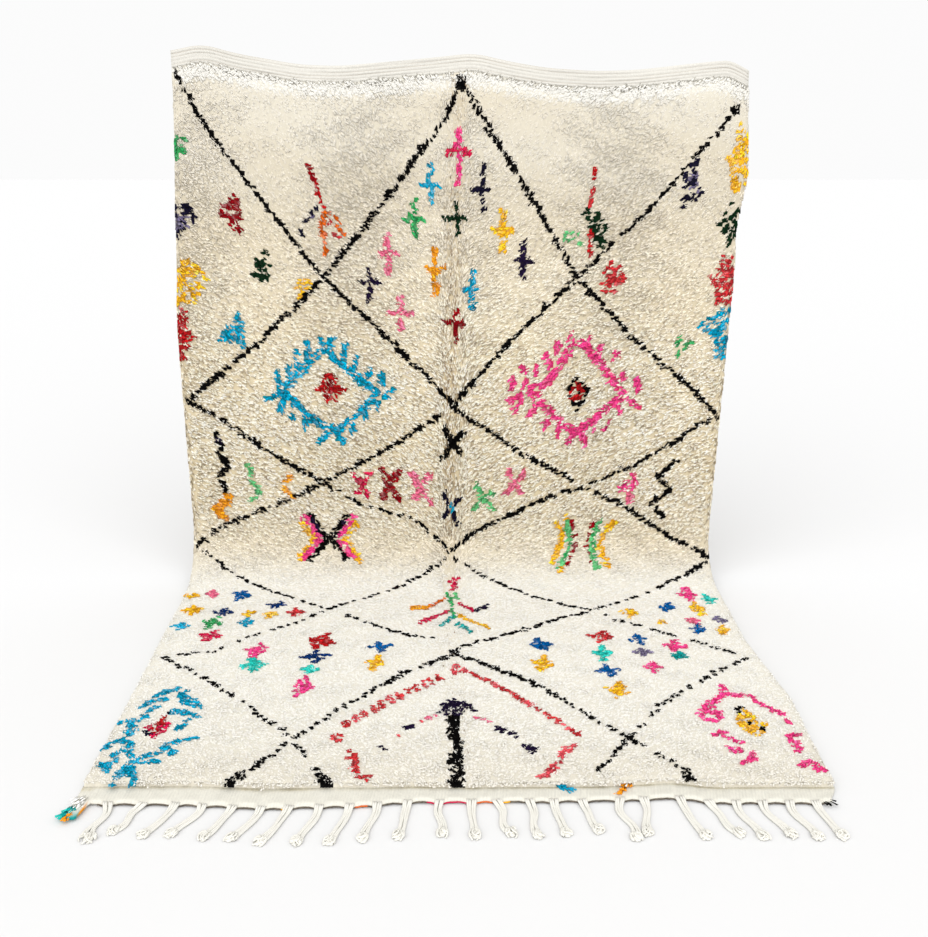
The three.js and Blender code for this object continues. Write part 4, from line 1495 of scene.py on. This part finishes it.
def make_edge_cord():
    rng = np.random.default_rng(6)
    across = np.linspace(cord_start, cord_end, cord_points)
    along, lifted = band_place(across, np.ones(cord_points))
    path = on_cloth(across, along + 0.0004, -half_thickness + cord_radius + 0.55 * lifted)
    path[:, 2] += 0.0003 * rng.standard_normal(cord_points)
    cord = tube(path, cord_radius + 0.0004 * rng.random(cord_points), cord_sides)
    # Grey-brown, partly painted contact shadow under the band's edge.
    colours = np.tile(cord_brown_and_shadow, (cord_points, 1)) * rng.uniform(0.7, 1.6, (cord_points, 1))
    for start, stop, wool in edge_lengths:
        colours[(path[:, 0] > start) & (path[:, 0] < stop)] = wool_light_of(wool)
    return tubes_mesh("edge_cord", [cord], np.repeat(colours, cord_sides, 0))


edge_cord = make_edge_cord()
edge_cord.data.materials.append(warp_yarn)
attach(edge_cord, "root")

# The loose ends
# Cut ends of dyed wool that hang out of the weave: a thick bunch at the left corner, two tufts on the
# near band, and a few black ends at the right corner.
loose_ends = [
    # Wool, across, along, which way they lie in degrees, how far they spread, how many
    ("cream", -0.748, 2.606, -22, 0.010, 22), ("cream", -0.744, 2.626, -26, 0.008, 18),
    ("teal", -0.757, 2.632, -16, 0.005, 20), ("aqua", -0.759, 2.640, -16, 0.005, 24),
    ("teal", -0.764, 2.652, -12, 0.004, 18), ("aqua", -0.767, 2.658, -10, 0.004, 16),
    ("amber", -0.751, 2.652, -14, 0.003, 15), ("amber", -0.757, 2.664, -12, 0.003, 13),
    ("blue", 0.207, 2.566, 58, 0.005, 13), ("blue", 0.218, 2.572, 54, 0.005, 12),
    ("light blue", 0.228, 2.580, 50, 0.004, 10), ("amber", 0.362, 2.564, -34, 0.006, 14),
    ("amber", 0.352, 2.580, -34, 0.006, 14), ("amber", 0.344, 2.590, -34, 0.005, 9),
    ("black", 0.742, 2.618, 25, 0.003, 4), ("black", 0.752, 2.616, 40, 0.002, 3),
]
end_lengths = (0.014, 0.022)
end_widths = (0.0038, 0.0054)
end_heights = (0.0012, 0.0020)


def make_loose_ends():
    rng = np.random.default_rng(8)
    roots, ends, tops, widths, colours = [], [], [], [], []
    for wool, x, down, lie, spread, count in loose_ends:
        for _ in range(count):
            turn = math.radians(lie) + rng.normal(0, 0.25)
            place = np.array([x, down]) + rng.normal(0, 0.5, 2) * spread
            root = on_cloth(place[:1], np.minimum(place[1:], cloth_length), 0)[0]
            root[1] -= max(place[1] - cloth_length, 0)
            root[0] = place[0]
            root[2] = weave_thickness + rng.uniform(-0.001, 0.0045)
            way = np.array([math.sin(turn), -math.cos(turn), 0])
            length = rng.uniform(*end_lengths)
            roots.append(root)
            ends.append(root + way * length + [0, 0, rng.uniform(0, 0.0016)])
            tops.append([0, 0, rng.uniform(*end_heights)])
            widths.append(rng.uniform(*end_widths))
            colours.append(wool_light_of(wool) * rng.uniform(0.88, 1.06))
    up = np.tile([0.0, 0.0, 1.0], (len(roots), 1))
    even = np.ones((len(roots), 3))
    roots, ends, tops, widths, colours = map(np.array, (roots, ends, tops, widths, colours))
    # Painted shade at each end's root and a painted highlight on its top.
    return strands_mesh("loose_ends", roots, ends, tops, widths, up, colours,
                        [0.8 * even, even, even, 1.1 * even])


dyed_ends = make_loose_ends()
dyed_ends.data.materials.append(pile_wool)
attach(dyed_ends, "root")

# Floor, light and camera
# A plain pale floor under an even pale sky, with one wide soft light from above and in front.
sky_light = (0.97, 0.97, 0.97, 1)
floor_colour = (0.686, 0.686, 0.686, 1)
floor_half = 30
floor_level = -0.0006
sun_strength = 2.9
sun_width = math.radians(100)
sun_turn = (math.radians(60), 0, math.radians(-6))
camera_place = (0.020, -2.4467, 1.291)
camera_turn = (math.radians(73.02), 0, 0)
camera_lens = 42.31
sensor_width = 36


def make_stage():
    mesh = bpy.data.meshes.new("floor")
    corners = [(-1, -1), (1, -1), (1, 1), (-1, 1)]
    mesh.from_pydata([(x * floor_half, y * floor_half, floor_level) for x, y in corners], [], [(0, 1, 2, 3)])
    floor = bpy.data.objects.new("floor", mesh)
    bpy.context.scene.collection.objects.link(floor)
    finish = Finish("floor", base_color=floor_colour, roughness=1.0, specular_ior_level=0.0)
    mesh.materials.append(finish.material)


def make_light():
    world = bpy.data.worlds.new("pale room")
    world.use_nodes = True
    world.node_tree.nodes["Background"].inputs["Color"].default_value = sky_light
    bpy.context.scene.world = world
    sun = bpy.data.lights.new("soft light", "SUN")
    sun.energy = sun_strength
    sun.angle = sun_width
    lamp = bpy.data.objects.new("soft light", sun)
    lamp.rotation_euler = sun_turn
    bpy.context.scene.collection.objects.link(lamp)


def make_camera():
    lens = bpy.data.cameras.new("camera")
    lens.sensor_width = sensor_width
    lens.lens = camera_lens
    camera = bpy.data.objects.new("camera", lens)
    camera.location = camera_place
    camera.rotation_euler = camera_turn
    bpy.context.scene.collection.objects.link(camera)
    bpy.context.scene.camera = camera


make_stage()
make_light()
make_camera()
bpy.context.scene.view_settings.view_transform = "Standard"
